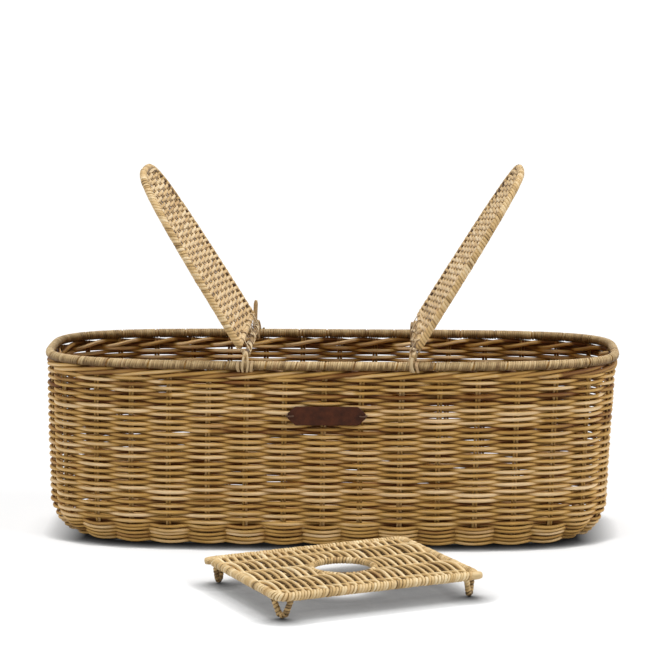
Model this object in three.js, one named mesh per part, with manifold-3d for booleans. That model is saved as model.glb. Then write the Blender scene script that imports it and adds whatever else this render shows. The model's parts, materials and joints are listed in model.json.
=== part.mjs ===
// Woven toilet paper basket: an oval rattan basket with two hinged lids and a loose centre panel.
// Millimetres, +Z up. The origin is on the floor under the middle of the basket.
// +X runs along the basket to the right lid, +Y runs away from the front wall that carries the patch.
import * as THREE from "three";
import { mergeVertices } from "three/addons/utils/BufferGeometryUtils.js";
import Module from "manifold-3d";

// Clear space left between two pieces that touch
const clearance = 0.3;

// Plan of the basket, taken on the centre line of the rim hoop
const planHalfLength = 303;
const planHalfWidth = 108;
const planPower = 3.6; // 2 gives an ellipse, more gives squarer ends
const stakeCount = 36; // upright stakes round the wall, an even number

// Rim and its binding of flat peel
const rimTop = 198.5;
const rimCoreRadius = 3.9;
const peelThickness = 0.8;

// Side wall
const wallThickness = 7;
const wallSetIn = 2.7; // how far inside the middle of the rim the wall stands at its top
const wallTaper = 4.5; // how far it leans in from there to the foot bend
const footBendHeight = 38;
const footBendDepth = 3; // how far the bend tucks in below that at the front and back
const endBendDepth = 11.5; // and at the two ends
const wallRows = 16;
const wallWeaveDepth = 1.6; // how far the strands swing in and out

// Twisted rings above and below the wall
const topWaleHalfHeight = 7;
const topWaleHalfWidth = 5.5;
const waleTwistDip = 0.16;
const footWaleRadius = 5;
const footWaleDip = 0.1; // how much thinner it is between two stakes

// Base
const baseThickness = 8.2;
const baseRows = 30;
const baseStakes = 7;
const baseWeaveDepth = 1.9;
const baseSideGap = 1; // extra room at the two long sides, where the rows run along the foot wale

// Lids
const hingeOffset = 87; // from the middle of the basket to a hinge axis
const lidOpenAngle = 58.3; // degrees, as the lids stand at rest
const barRadius = 4.5;
const barOverhang = 4; // past the middle of the rim
const bowCoreRadius = 3.4;
const bowSegments = 22; // an even number
const lidStakes = 5;
const lidWeaveThickness = 4.4;
const lidWeaveDepth = 1.1;

// Hinge ties
const tieStrandRadius = 1.25;
const tieSlack = 0.35; // looseness at the sides so that a lid swings freely

// Leather patch on the front wall
const patchLength = 82;
const patchHeight = 20;
const patchThickness = 2;
const patchChamfer = 5;
const patchDrop = 57.5; // from the rim top to the middle of the patch
const patchShift = -2.5; // along the wall
const stitchRadius = 0.9;
const stitchInset = 6; // from the end of the patch to its stitch hole

// Loose centre panel
const panelLength = 214; // between the middles of its frame rods
const panelWidth = 168;
const panelCornerRadius = 9;
const panelCoreRadius = 3.4;
const panelStakes = 3;
const panelRows = 24;
const panelWeaveThickness = 4.4;
const panelWeaveDepth = 1.1;
const holeRingRadius = 32; // on the middle of the ring's rod
const holeRodRadius = 3.2;
const legHeight = 17.2;
const legRadius = 3;
const legSpread = 15; // from the corner of the frame to each prong
const legInset = 9; // from the corner of the frame to the foot
const panelShift = 20; // where it stands, along the basket
const panelStandOff = 182.1; // in front of the rim
const panelTurn = 27; // degrees

// Sizes that follow from those above
const rimRadius = rimCoreRadius + clearance + peelThickness;
const rimHeight = rimTop - rimRadius;
const topWaleHeight = rimHeight - rimRadius - clearance - topWaleHalfHeight;
const wallTop = topWaleHeight - topWaleHalfHeight - clearance;
const wallFoot = 2 * footWaleRadius + clearance;
const hingeHeight = rimTop + clearance + barRadius;
const bowRadius = bowCoreRadius + clearance + peelThickness;
const tieOverBar = barRadius + clearance + tieStrandRadius;
const tieUnderRim = rimRadius + clearance + tieStrandRadius;
const tieReach = Math.max(tieOverBar, tieUnderRim) + tieSlack;
const bowGap = tieReach + tieStrandRadius + clearance;
const panelFrameRadius = panelCoreRadius + clearance + peelThickness;
const panelFrameHeight = legHeight + clearance + panelFrameRadius;

const wasm = await Module();
wasm.setup();

const wallCane = new THREE.MeshStandardMaterial({ color: "#8f6d48", roughness: 0.72, metalness: 0 });
const rimCane = new THREE.MeshStandardMaterial({ color: "#a08a6c", roughness: 0.62, metalness: 0 });
const paleCane = new THREE.MeshStandardMaterial({ color: "#cdb58c", roughness: 0.66, metalness: 0 });
const goldenCane = new THREE.MeshStandardMaterial({ color: "#cfa766", roughness: 0.64, metalness: 0 });
const tiePeel = new THREE.MeshStandardMaterial({ color: "#b7996c", roughness: 0.6, metalness: 0 });
const leather = new THREE.MeshStandardMaterial({ color: "#4d2a22", roughness: 0.55, metalness: 0 });
const thread = new THREE.MeshStandardMaterial({ color: "#6b4a34", roughness: 0.7, metalness: 0 });

// The plan outline, or a run of it, by direction from the middle of the basket
class PlanRun extends THREE.Curve {
  constructor(startAngle, endAngle) {
    super();
    this.startAngle = startAngle;
    this.endAngle = endAngle;
    this.arcLengthDivisions = 2000;
  }

  getPoint(t, target = new THREE.Vector3()) {
    const angle = THREE.MathUtils.lerp(this.startAngle, this.endAngle, t);
    const alongPart = Math.abs(Math.cos(angle) / planHalfLength) ** planPower;
    const acrossPart = Math.abs(Math.sin(angle) / planHalfWidth) ** planPower;
    const reach = (alongPart + acrossPart) ** (-1 / planPower);
    return target.set(reach * Math.cos(angle), reach * Math.sin(angle), 0);
  }
}

// Half the width of the plan at a distance along it from the middle
function planWidthAt(x) {
  return planHalfWidth * (1 - Math.abs(x / planHalfLength) ** planPower) ** (1 / planPower);
}

// Direction that points straight out of the plan at a point on it
function outward(point) {
  const across = Math.abs(point.x / planHalfLength) ** (planPower - 1) / planHalfLength;
  const along = Math.abs(point.y / planHalfWidth) ** (planPower - 1) / planHalfWidth;
  return new THREE.Vector3(Math.sign(point.x) * across, Math.sign(point.y) * along, 0).normalize();
}

// A point on the plan, moved outward and up
function offPlan(point, offset, z) {
  return point.clone().addScaledVector(outward(point), offset).setZ(z);
}

// Turns the faces outward when the solid came out inside out
function faceOut(geometry) {
  const position = geometry.getAttribute("position");
  const index = geometry.getIndex().array;
  const corner = [0, 1, 2].map(() => new THREE.Vector3());
  let volume = 0;
  for (let i = 0; i < index.length; i += 3) {
    corner.forEach((vertex, k) => vertex.fromBufferAttribute(position, index[i + k]));
    volume += corner[0].dot(corner[1].clone().cross(corner[2]));
  }
  if (volume < 0) {
    geometry.setIndex(Array.from(index).reverse());
  }
  geometry.computeVertexNormals();
  return geometry;
}

// A solid through rings of points. It closes on itself, or its two ends are capped.
function loft(rings, closed) {
  const count = rings[0].length;
  const faces = [];
  const joins = closed ? rings.length : rings.length - 1;
  for (let i = 0; i < joins; i++) {
    const here = i * count;
    const next = ((i + 1) % rings.length) * count;
    for (let j = 0; j < count; j++) {
      const k = (j + 1) % count;
      faces.push(here + j, next + j, here + k, here + k, next + j, next + k);
    }
  }
  if (!closed) {
    const last = (rings.length - 1) * count;
    for (let j = 0; j < count / 2 - 1; j++) {
      const k = count - 1 - j;
      faces.push(j, j + 1, k, j + 1, k - 1, k);
      faces.push(last + j, last + k, last + j + 1, last + j + 1, last + k, last + k - 1);
    }
  }
  const geometry = new THREE.BufferGeometry();
  geometry.setAttribute("position", new THREE.Float32BufferAttribute(rings.flat().flatMap((p) => p.toArray()), 3));
  geometry.setIndex(faces);
  return faceOut(geometry);
}

// Corners of a many-sided section as offset and height about its middle
function roundSection(sides, halfWidth, halfHeight, turn = 0) {
  return Array.from({ length: sides }, (_, j) => {
    const angle = turn + (j / sides) * Math.PI * 2;
    return [Math.cos(angle) * halfWidth, Math.sin(angle) * halfHeight];
  });
}

// A hoop all the way round the plan with the section that sectionAt gives for each station
function planHoop(stations, sectionAt) {
  return loft(stations.map((point, k) => sectionAt(k).map(([offset, z]) => offPlan(point, offset, z))), true);
}

// A hollow binding over a rod: each ring runs out along the outer skin and back along the inner one
function sleeve(frames, outerRadius, innerRadius, sides) {
  const rings = [];
  for (let j = 0; j < sides; j++) {
    const angle = Math.PI / 2 + (j / sides) * Math.PI * 2;
    const at = ({ centre, side, up }, radius) =>
      centre
        .clone()
        .addScaledVector(side, Math.cos(angle) * radius)
        .addScaledVector(up, Math.sin(angle) * radius);
    const outer = frames.map((frame) => at(frame, outerRadius));
    const inner = frames.map((frame) => at(frame, innerRadius));
    rings.push([...outer, ...inner.reverse()]);
  }
  return loft(rings, true);
}

// A rod through the same frames that a sleeve takes
function rod(frames, radius, sides, closed) {
  const section = roundSection(sides, radius, radius, Math.PI / 2);
  const rings = frames.map(({ centre, side, up }) =>
    section.map(([a, b]) => centre.clone().addScaledVector(side, a).addScaledVector(up, b)),
  );
  return loft(rings, closed);
}

// A woven sheet from rows that each run from one edge point to the other, with stakes crossing them.
// Its underside is woven too, or lies flat at the height flatUnder.
function wovenSheet(rows, stakes, thickness, depth, flatUnder) {
  const columns = stakes + 1;
  const rings = rows.map(([near, far], i) => {
    const line = Array.from({ length: columns + 1 }, (_, j) => {
      const inside = i > 0 && i < rows.length - 1 && j > 0 && j < columns;
      const swing = inside ? depth * ((i + j) % 2 ? 1 : -1) : 0;
      return near.clone().lerp(far, j / columns).add(new THREE.Vector3(0, 0, swing));
    });
    const top = line.map((p) => p.clone().add(new THREE.Vector3(0, 0, thickness / 2)));
    const under = line.map((p) => p.clone().setZ(flatUnder ?? p.z - thickness / 2));
    return [...top, ...under.reverse()];
  });
  return loft(rings, false);
}

function toManifold(geometry) {
  const bare = geometry.clone();
  bare.deleteAttribute("normal");
  bare.deleteAttribute("uv");
  const merged = mergeVertices(bare);
  return new wasm.Manifold(
    new wasm.Mesh({
      numProp: 3,
      vertProperties: new Float32Array(merged.getAttribute("position").array),
      triVerts: new Uint32Array(merged.getIndex().array),
    }),
  );
}

function cutAway(geometry, tool) {
  const mesh = toManifold(geometry).subtract(toManifold(tool)).getMesh();
  const result = new THREE.BufferGeometry();
  result.setAttribute("position", new THREE.BufferAttribute(new Float32Array(mesh.vertProperties), 3));
  result.setIndex(Array.from(mesh.triVerts));
  result.computeVertexNormals();
  return result;
}

function piece(name, geometry, material) {
  const mesh = new THREE.Mesh(geometry, material);
  mesh.name = name;
  return mesh;
}

// Stations round the plan, two for each stake: one on the stake and one between
const wholePlan = new PlanRun(0, Math.PI * 2);
const stations = wholePlan.getSpacedPoints(stakeCount * 2).slice(0, -1);

// How far inside the plan the middle of the wall is at a height, by a point of the plan
function wallInset(z, point) {
  const lean = (wallTaper * (wallTop - z)) / (wallTop - footBendHeight);
  const bendDepth = THREE.MathUtils.lerp(footBendDepth, endBendDepth, outward(point).x ** 2);
  const tuck = z < footBendHeight ? bendDepth * ((footBendHeight - z) / (footBendHeight - wallFoot)) ** 2 : 0;
  return wallSetIn + THREE.MathUtils.clamp(lean, 0, wallTaper) + tuck;
}

function makeWall() {
  const innerHeights = [wallTop, footBendHeight, wallFoot];
  return planHoop(stations, (k) => {
    const outer = Array.from({ length: wallRows + 1 }, (_, j) => {
      const z = THREE.MathUtils.lerp(wallFoot, wallTop, j / wallRows);
      const onStake = k % 2 === 0 && j > 0 && j < wallRows;
      const swing = onStake ? wallWeaveDepth * ((k / 2 + j) % 2 ? 1 : -1) : 0;
      return [wallThickness / 2 - wallInset(z, stations[k]) + swing, z];
    });
    const inner = innerHeights.map((z) => [-wallThickness / 2 - wallInset(z, stations[k]), z]);
    return [...outer, ...inner];
  });
}

// The rods of the top wale part where a hinge tie goes through under the rim
function makeTopWale() {
  const sides = 8;
  const whole = planHoop(stations, (k) =>
    roundSection(sides, 1, 1, Math.PI / 2).map(([a, b], j) => {
      const rods = 1 - waleTwistDip * (0.5 - 0.5 * Math.cos(2 * Math.PI * ((j + k) / 4)));
      return [a * rods * topWaleHalfWidth - wallSetIn, topWaleHeight + b * rods * topWaleHalfHeight];
    }),
  );
  return hingeCorners.reduce(
    (wale, [, sideX, sideY]) => cutAway(wale, makeHingeTie(sideX, sideY, tieStrandRadius + clearance)),
    whole,
  );
}

// The rods of the foot wale bulge over each stake and draw in between two of them
function makeFootWale() {
  const sides = 6;
  const section = roundSection(sides, footWaleRadius, footWaleRadius / Math.cos(Math.PI / sides));
  return planHoop(stations, (k) => {
    const size = k % 2 === 0 ? 1 : 1 - footWaleDip;
    const inset = wallInset(wallFoot, stations[k]);
    return section.map(([a, b]) => [a * size - inset, footWaleRadius + b * size]);
  });
}

// The rows of the base end just inside the foot wale, and it's flat underneath where it stands
function makeBase() {
  const edge = footWaleRadius + clearance;
  const quarter = stations.slice(0, stakeCount / 2 + 1);
  const outline = quarter.map((point) => offPlan(point, -wallInset(wallFoot, point) - edge, 0));
  const halfWidth = outline.at(-1).y - baseSideGap;
  const rows = Array.from({ length: baseRows + 1 }, (_, i) => {
    const y = THREE.MathUtils.lerp(-halfWidth, halfWidth, i / baseRows);
    const k = outline.findIndex((point) => point.y > Math.abs(y));
    const [from, to] = [outline[k - 1], outline[k]];
    const reach = THREE.MathUtils.lerp(from.x, to.x, (Math.abs(y) - from.y) / (to.y - from.y));
    const middle = baseThickness - baseWeaveDepth;
    return [new THREE.Vector3(-reach, y, middle), new THREE.Vector3(reach, y, middle)];
  });
  return wovenSheet(rows, baseStakes, 0, baseWeaveDepth, 0);
}

function planFrames(points, z) {
  return points.map((point) => ({
    centre: point.clone().setZ(z),
    side: outward(point),
    up: new THREE.Vector3(0, 0, 1),
  }));
}

// The frame where a straight run between two stations reaches a distance along the basket
function frameAt(from, to, reach) {
  const t = (reach - Math.abs(from.centre.x)) / (Math.abs(to.centre.x) - Math.abs(from.centre.x));
  return {
    centre: from.centre.clone().lerp(to.centre, t),
    side: from.side.clone().lerp(to.side, t),
    up: from.up,
  };
}

// One run of rim binding over the stations that keep() lets through, which ends at a hinge on both sides
function makeRimBinding(keep, reach) {
  const frames = planFrames(stations, rimHeight);
  const first = frames.findIndex(({ centre }, k) => keep(centre) && !keep(frames.at(k - 1).centre));
  const order = frames.map((_, k) => frames[(first + k) % frames.length]);
  const stop = order.findIndex(({ centre }) => !keep(centre));
  const run = order.slice(0, stop);
  const start = frameAt(order.at(-1), run[0], reach);
  const end = frameAt(run.at(-1), order[stop], reach);
  return sleeve([start, ...run, end], rimRadius, rimCoreRadius + clearance, 6);
}

// A peel loop that goes under the rim, turns a quarter and goes over the lid's bar
function makeHingeTie(sideX, sideY, radius = tieStrandRadius) {
  const x = sideX * hingeOffset;
  const y = sideY * planWidthAt(hingeOffset);
  const steps = 6;
  const path = [];
  for (let i = 0; i < 2 * steps; i++) {
    const a = (Math.PI * i) / (2 * steps);
    path.push([sideX * tieReach * Math.cos(a), 0, hingeHeight + tieOverBar * Math.sin(a)]);
  }
  for (let i = 0; i < steps; i++) {
    const a = (Math.PI * i) / (2 * steps);
    const z = THREE.MathUtils.lerp(hingeHeight, rimHeight, i / steps);
    path.push([-sideX * tieReach * Math.cos(a), -sideY * tieReach * Math.sin(a), z]);
  }
  for (let i = 0; i < 2 * steps; i++) {
    const a = (Math.PI * i) / (2 * steps);
    path.push([0, -sideY * tieReach * Math.cos(a), rimHeight - tieUnderRim * Math.sin(a)]);
  }
  for (let i = 0; i < steps; i++) {
    const a = (Math.PI * i) / (2 * steps);
    const z = THREE.MathUtils.lerp(rimHeight, hingeHeight, i / steps);
    path.push([sideX * tieReach * Math.sin(a), sideY * tieReach * Math.cos(a), z]);
  }
  const curve = new THREE.CatmullRomCurve3(path.map(([dx, dy, z]) => new THREE.Vector3(x + dx, y + dy, z)), true);
  const tube = new THREE.TubeGeometry(curve, 24, radius, 5, true);
  tube.deleteAttribute("normal");
  tube.deleteAttribute("uv");
  return faceOut(mergeVertices(tube));
}

function makePatch() {
  const group = new THREE.Group();
  const z = rimTop - patchDrop;
  const lean = Math.atan(wallTaper / (wallTop - footBendHeight));
  const inset = wallInset(z, new THREE.Vector3(0, -planHalfWidth, 0));
  const face = planHalfWidth - inset + wallThickness / 2 + wallWeaveDepth + clearance;
  group.position.set(patchShift, -face, z);
  group.rotation.x = Math.PI / 2 + lean;

  const halfLength = patchLength / 2;
  const halfHeight = patchHeight / 2;
  const outline = new THREE.Shape();
  outline.moveTo(-halfLength + patchChamfer, -halfHeight);
  outline.lineTo(halfLength - patchChamfer, -halfHeight);
  outline.lineTo(halfLength, -halfHeight + patchChamfer);
  outline.lineTo(halfLength, halfHeight - patchChamfer);
  outline.lineTo(halfLength - patchChamfer, halfHeight);
  outline.lineTo(-halfLength + patchChamfer, halfHeight);
  outline.lineTo(-halfLength, halfHeight - patchChamfer);
  outline.lineTo(-halfLength, -halfHeight + patchChamfer);
  for (const end of [-1, 1]) {
    const hole = new THREE.Path();
    hole.absarc(end * (halfLength - stitchInset), 0, stitchRadius + clearance, 0, Math.PI * 2, true);
    outline.holes.push(hole);
  }
  const plate = new THREE.ExtrudeGeometry(outline, { depth: patchThickness, bevelEnabled: false, curveSegments: 8 });
  group.add(piece("label_patch", plate, leather));

  // A stitch rises through the hole, crosses the end of the patch and goes back down beside it
  const over = patchThickness + clearance + stitchRadius;
  const beyond = halfLength + clearance + stitchRadius;
  for (const end of [-1, 1]) {
    const inHole = end * (halfLength - stitchInset);
    const path = new THREE.CatmullRomCurve3(
      [
        [inHole, 0, 0],
        [inHole, 0, over - stitchRadius],
        [inHole + end * stitchRadius, 0, over],
        [end * (beyond - stitchRadius), 0, over],
        [end * beyond, 0, over - stitchRadius],
        [end * beyond, 0, 0],
      ].map((p) => new THREE.Vector3(...p)),
      false,
      "chordal",
    );
    const section = new THREE.Shape(roundSection(6, stitchRadius, stitchRadius).map((p) => new THREE.Vector2(...p)));
    const stitch = new THREE.ExtrudeGeometry(section, { extrudePath: path, steps: 10 });
    group.add(piece(end < 0 ? "label_tie_left" : "label_tie_right", stitch, thread));
  }
  return group;
}

// A lid lies along -X from its hinge axis, before it's turned to its open angle
function makeLid(label) {
  const lid = new THREE.Group();
  lid.name = `${label}_lid`;
  const start = hingeOffset + bowGap;
  const startAngle = Math.atan2(planWidthAt(start), -start);
  const points = new PlanRun(startAngle, Math.PI * 2 - startAngle).getSpacedPoints(bowSegments);
  const frames = planFrames(points, 0).map(({ centre, side, up }) => ({
    centre: centre.add(new THREE.Vector3(hingeOffset, 0, 0)),
    side,
    up,
  }));
  lid.add(piece(`${label}_lid_bow`, rod(frames, bowCoreRadius, 6, false), paleCane));
  lid.add(piece(`${label}_lid_binding`, sleeve(frames, bowRadius, bowCoreRadius + clearance, 6), paleCane));

  const barLength = 2 * (planWidthAt(hingeOffset) + barOverhang);
  lid.add(piece(`${label}_lid_bar`, new THREE.CylinderGeometry(barRadius, barRadius, barLength, 10), paleCane));

  // Rows of the weave end just inside the bow, one row at each bow station and one between
  const inside = frames.map(({ centre, side }) => centre.clone().addScaledVector(side, -bowRadius - clearance));
  const edge = inside.slice(0, bowSegments / 2);
  const rows = [];
  edge.forEach((point, i) => {
    if (i === 0) {
      rows.push(point.clone().setX(-barRadius - clearance));
      return;
    }
    const before = i === 1 ? rows[0] : edge[i - 1];
    rows.push(before.clone().lerp(point, 0.5), point);
  });
  const sheet = rows.map((point) => [new THREE.Vector3(point.x, -point.y, 0), point.clone()]);
  lid.add(piece(`${label}_lid_weave`, wovenSheet(sheet, lidStakes, lidWeaveThickness, lidWeaveDepth), paleCane));
  return lid;
}

function makePanel() {
  const panel = new THREE.Group();
  panel.name = "centre_panel";
  panel.position.set(panelShift, -planHalfWidth - panelStandOff, 0);
  panel.rotation.z = THREE.MathUtils.degToRad(panelTurn);
  const halfLength = panelLength / 2;
  const halfWidth = panelWidth / 2;

  // The frame rod goes round in straight runs joined by quarter bends
  const frames = [];
  const bendSteps = 4;
  for (let corner = 0; corner < 4; corner++) {
    const sideX = corner === 0 || corner === 3 ? 1 : -1;
    const sideY = corner < 2 ? 1 : -1;
    for (let i = 0; i <= bendSteps; i++) {
      const angle = (Math.PI / 2) * (corner + i / bendSteps);
      const side = new THREE.Vector3(Math.cos(angle), Math.sin(angle), 0);
      const centre = new THREE.Vector3(
        sideX * (halfLength - panelCornerRadius),
        sideY * (halfWidth - panelCornerRadius),
        panelFrameHeight,
      ).addScaledVector(side, panelCornerRadius);
      frames.push({ centre, side, up: new THREE.Vector3(0, 0, 1) });
    }
  }
  panel.add(piece("panel_frame", rod(frames, panelCoreRadius, 6, true), goldenCane));
  const runs = ["long_back", "short_left", "long_front", "short_right"];
  runs.forEach((name, corner) => {
    const from = frames[corner * (bendSteps + 1) + bendSteps];
    const to = frames[((corner + 1) * (bendSteps + 1)) % frames.length];
    const skin = sleeve([from, to], panelFrameRadius, panelCoreRadius + clearance, 6);
    panel.add(piece(`panel_binding_${name}`, skin, goldenCane));
  });

  // The woven field is cut out for the bound ring
  const edge = panelFrameRadius + clearance;
  const reachX = halfLength - edge;
  const reachY = halfWidth - edge;
  const bend = Math.max(panelCornerRadius - edge, 0);
  const rows = Array.from({ length: panelRows + 1 }, (_, i) => {
    const x = THREE.MathUtils.lerp(-reachX, reachX, i / panelRows);
    const past = Math.max(0, Math.abs(x) - reachX + bend);
    const y = reachY - bend + Math.sqrt(Math.max(0, bend ** 2 - past ** 2));
    return [new THREE.Vector3(x, -y, panelFrameHeight), new THREE.Vector3(x, y, panelFrameHeight)];
  });
  const field = wovenSheet(rows, panelStakes, panelWeaveThickness, panelWeaveDepth);
  const holeCut = new THREE.CylinderGeometry(
    holeRingRadius + holeRodRadius + clearance,
    holeRingRadius + holeRodRadius + clearance,
    4 * panelWeaveThickness,
    28,
  );
  holeCut.rotateX(Math.PI / 2);
  holeCut.translate(0, 0, panelFrameHeight);
  panel.add(piece("panel_weave", cutAway(field, holeCut), goldenCane));
  const ring = new THREE.TorusGeometry(holeRingRadius, holeRodRadius, 6, 28);
  ring.translate(0, 0, panelFrameHeight);
  panel.add(piece("panel_hole_ring", ring, goldenCane));

  // Each leg is one rod bent to a V, with a prong under each side of its corner and a flat on the floor
  const floorCut = new THREE.BoxGeometry(4 * legSpread, 4 * legSpread, legHeight);
  [1, -1].forEach((sideX, i) => {
    [1, -1].forEach((sideY, j) => {
      const x = (inset) => sideX * (halfLength - inset);
      const y = (inset) => sideY * (halfWidth - inset);
      const low = legRadius * 0.85;
      const path = new THREE.CatmullRomCurve3(
        [
          [x(legSpread), y(0), legHeight],
          [x(legSpread), y(0), legHeight * 0.8],
          [x(legSpread * 0.8), y(legInset * 0.55), legHeight * 0.4],
          [x(legInset + legRadius), y(legInset), low],
          [x(legInset), y(legInset + legRadius), low],
          [x(legInset * 0.55), y(legSpread * 0.8), legHeight * 0.4],
          [x(0), y(legSpread), legHeight * 0.8],
          [x(0), y(legSpread), legHeight],
        ].map((p) => new THREE.Vector3(...p)),
        false,
        "chordal",
      );
      const section = new THREE.Shape(roundSection(6, legRadius, legRadius).map((p) => new THREE.Vector2(...p)));
      const leg = new THREE.ExtrudeGeometry(section, { extrudePath: path, steps: 12 });
      const under = floorCut.clone().translate(x(legInset), y(legInset), -legHeight / 2);
      panel.add(piece(`panel_leg_${1 + i * 2 + j}`, cutAway(leg, under), goldenCane));
    });
  });
  return panel;
}

const hingeCorners = [
  ["front_left", -1, -1],
  ["back_left", -1, 1],
  ["front_right", 1, -1],
  ["back_right", 1, 1],
];

const basket = new THREE.Group();
basket.name = "basket";
basket.add(piece("base_mat", makeBase(), wallCane));
basket.add(piece("foot_wale", makeFootWale(), wallCane));
basket.add(piece("side_wall", makeWall(), wallCane));
basket.add(piece("top_wale", makeTopWale(), wallCane));
basket.add(piece("rim_hoop", rod(planFrames(stations, rimHeight), rimCoreRadius, 6, true), rimCane));
const outside = hingeOffset + clearance;
const inside = hingeOffset - clearance;
const bindings = [
  ["left", outside, (p) => p.x < -outside],
  ["right", outside, (p) => p.x > outside],
  ["front", inside, (p) => Math.abs(p.x) < inside && p.y < 0],
  ["back", inside, (p) => Math.abs(p.x) < inside && p.y > 0],
];
bindings.forEach(([side, reach, keep]) => {
  basket.add(piece(`rim_binding_${side}`, makeRimBinding(keep, reach), rimCane));
});
hingeCorners.forEach(([corner, sideX, sideY]) => {
  basket.add(piece(`hinge_tie_${corner}`, makeHingeTie(sideX, sideY), tiePeel));
});
basket.add(makePatch());

const leftLid = makeLid("left");
leftLid.position.set(-hingeOffset, 0, hingeHeight);
leftLid.rotation.y = THREE.MathUtils.degToRad(lidOpenAngle);

const rightLid = makeLid("right");
rightLid.rotation.y = THREE.MathUtils.degToRad(lidOpenAngle);
const rightHinge = new THREE.Group();
rightHinge.position.set(hingeOffset, 0, hingeHeight);
rightHinge.rotation.z = Math.PI;
rightHinge.add(rightLid);

const group = new THREE.Group();
group.name = "toilet_paper_basket";
group.add(basket, leftLid, rightHinge, makePanel());

export default group;
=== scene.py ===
import json
import math
import bpy
import numpy as np
from mathutils import Matrix, Vector


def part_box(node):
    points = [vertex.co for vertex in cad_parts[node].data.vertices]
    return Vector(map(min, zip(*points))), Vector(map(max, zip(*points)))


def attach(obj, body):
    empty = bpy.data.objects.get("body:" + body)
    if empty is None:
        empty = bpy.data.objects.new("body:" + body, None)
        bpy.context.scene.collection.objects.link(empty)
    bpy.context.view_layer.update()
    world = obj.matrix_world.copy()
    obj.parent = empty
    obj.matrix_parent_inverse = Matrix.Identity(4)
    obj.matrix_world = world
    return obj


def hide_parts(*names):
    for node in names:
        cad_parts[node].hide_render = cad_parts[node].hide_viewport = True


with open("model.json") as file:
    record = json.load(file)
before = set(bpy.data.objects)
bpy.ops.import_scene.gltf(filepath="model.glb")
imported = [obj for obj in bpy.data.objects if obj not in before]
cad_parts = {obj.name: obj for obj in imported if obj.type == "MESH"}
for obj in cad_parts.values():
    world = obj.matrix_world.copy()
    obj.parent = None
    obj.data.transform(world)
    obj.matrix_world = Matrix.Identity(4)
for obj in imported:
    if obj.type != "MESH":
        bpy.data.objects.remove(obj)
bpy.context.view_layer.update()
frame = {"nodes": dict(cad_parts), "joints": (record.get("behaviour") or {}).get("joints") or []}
joints = {joint["child"]: joint for joint in frame["joints"]}
print("frame loaded:", len(frame["nodes"]), "nodes")

# camera, at the angle the basket was photographed from
cameraView = {
    "distance": 3.1342, "height": 0.7144,  # metres from the middle of the basket, over the floor
    "round": 1.9,  # degrees to the right of square on
    "tiltDown": 0.159,  # radians below level
    "lens": 159.18, "sensor": 36.0,  # mm
    "farthest": 60.0,  # metres that it can see
}


def setCamera(view):
    data = bpy.data.cameras.new("photoCamera")
    data.lens = view["lens"]
    data.sensor_width = view["sensor"]
    data.clip_end = view["farthest"]
    camera = bpy.data.objects.new("photoCamera", data)
    turn = math.radians(view["round"])
    camera.location = (view["distance"] * math.sin(turn), -view["distance"] * math.cos(turn), view["height"])
    camera.rotation_euler = (math.pi / 2 - view["tiltDown"], 0, turn)
    bpy.context.scene.collection.objects.link(camera)
    bpy.context.scene.camera = camera


setCamera(cameraView)
print("camera set")


# shader nodes, whose inputs are values or the outputs of other nodes
def setInputs(tree, node, inputs):
    for socket, value in inputs.items():
        if isinstance(value, bpy.types.NodeSocket):
            tree.links.new(value, node.inputs[socket])
        else:
            node.inputs[socket].default_value = value


def addNode(tree, kind, inputs, output=0, **settings):
    node = tree.nodes.new("ShaderNode" + kind)
    for name, value in settings.items():
        setattr(node, name, value)
    setInputs(tree, node, inputs)
    return node.outputs[output]


def addMath(tree, operation, *values):
    return addNode(tree, "Math", dict(enumerate(values)), operation=operation)


def addMix(tree, factor, first, second, blend="MIX"):
    return addNode(tree, "Mix", {0: factor, 6: first, 7: second}, 2, data_type="RGBA", blend_type=blend)


def addSpread(tree, value, low, high, toLow=0.0, toHigh=1.0):
    # a value moved from one range to another
    ends = {"From Min": low, "From Max": high, "To Min": toLow, "To Max": toHigh}
    return addNode(tree, "MapRange", {"Value": value, **ends})


def linear(red, green, blue):
    # an sRGB colour as the shaders take it
    parts = [part / 255 for part in (red, green, blue)]
    return tuple(p / 12.92 if p <= 0.04045 else ((p + 0.055) / 1.055) ** 2.4 for p in parts) + (1,)


def addRamp(tree, value, low, high, middle=None):
    # colours by a value from 0 to 1, low and high with their places
    ramp = tree.nodes.new("ShaderNodeValToRGB")
    setInputs(tree, ramp, {0: value})
    stops = ramp.color_ramp.elements
    for stop, (place, colour) in zip(stops, (low, high)):
        stop.position = place
        stop.color = linear(*colour)
    if middle:
        stops.new(0.5).color = linear(*middle)
    return ramp.outputs[0]


def newFinish(name):
    finish = bpy.data.materials.new(name)
    finish.use_nodes = True
    return finish, finish.node_tree


# light and floor
studio = {
    "skyLevel": 0.12,
    "lamps": {  # what each adds to a white floor, degrees up, degrees round from the front, degrees across
        "overhead": (0.56, 82.0, 176.0, 14.0),
        "leftSide": (0.25, 38.0, -64.0, 22.0),
        "rightSide": (0.35, 38.0, 72.0, 22.0),
    },
    "lampHeight": 3.0,
    "floorWhite": 1.0,
    "floorBounce": 0.7,  # how pale the floor is to everything but the camera
    "floorReach": 30.0,  # metres
    "floorGlow": 0.68,  # share of its whiteness that no lamp shadow takes away
    "contactReach": 0.030, "contactPower": 4.2,  # painted shadow: the floor's colour darkens in front of what stands on it
    "contactTilt": 62.0,  # degrees
    "contactEnds": (0.262, 0.312),  # metres from the middle where that fades out
}


def grey(level):
    return (level, level, level, 1)


def seenDirectly(tree):
    # 1 for what the camera sees, straight, in a reflection or through something clear
    rays = tree.nodes.new("ShaderNodeLightPath").outputs
    direct = addMath(tree, "MAXIMUM", rays["Is Camera Ray"], rays["Is Glossy Ray"])
    return addMath(tree, "MAXIMUM", direct, rays["Is Transmission Ray"])


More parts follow.
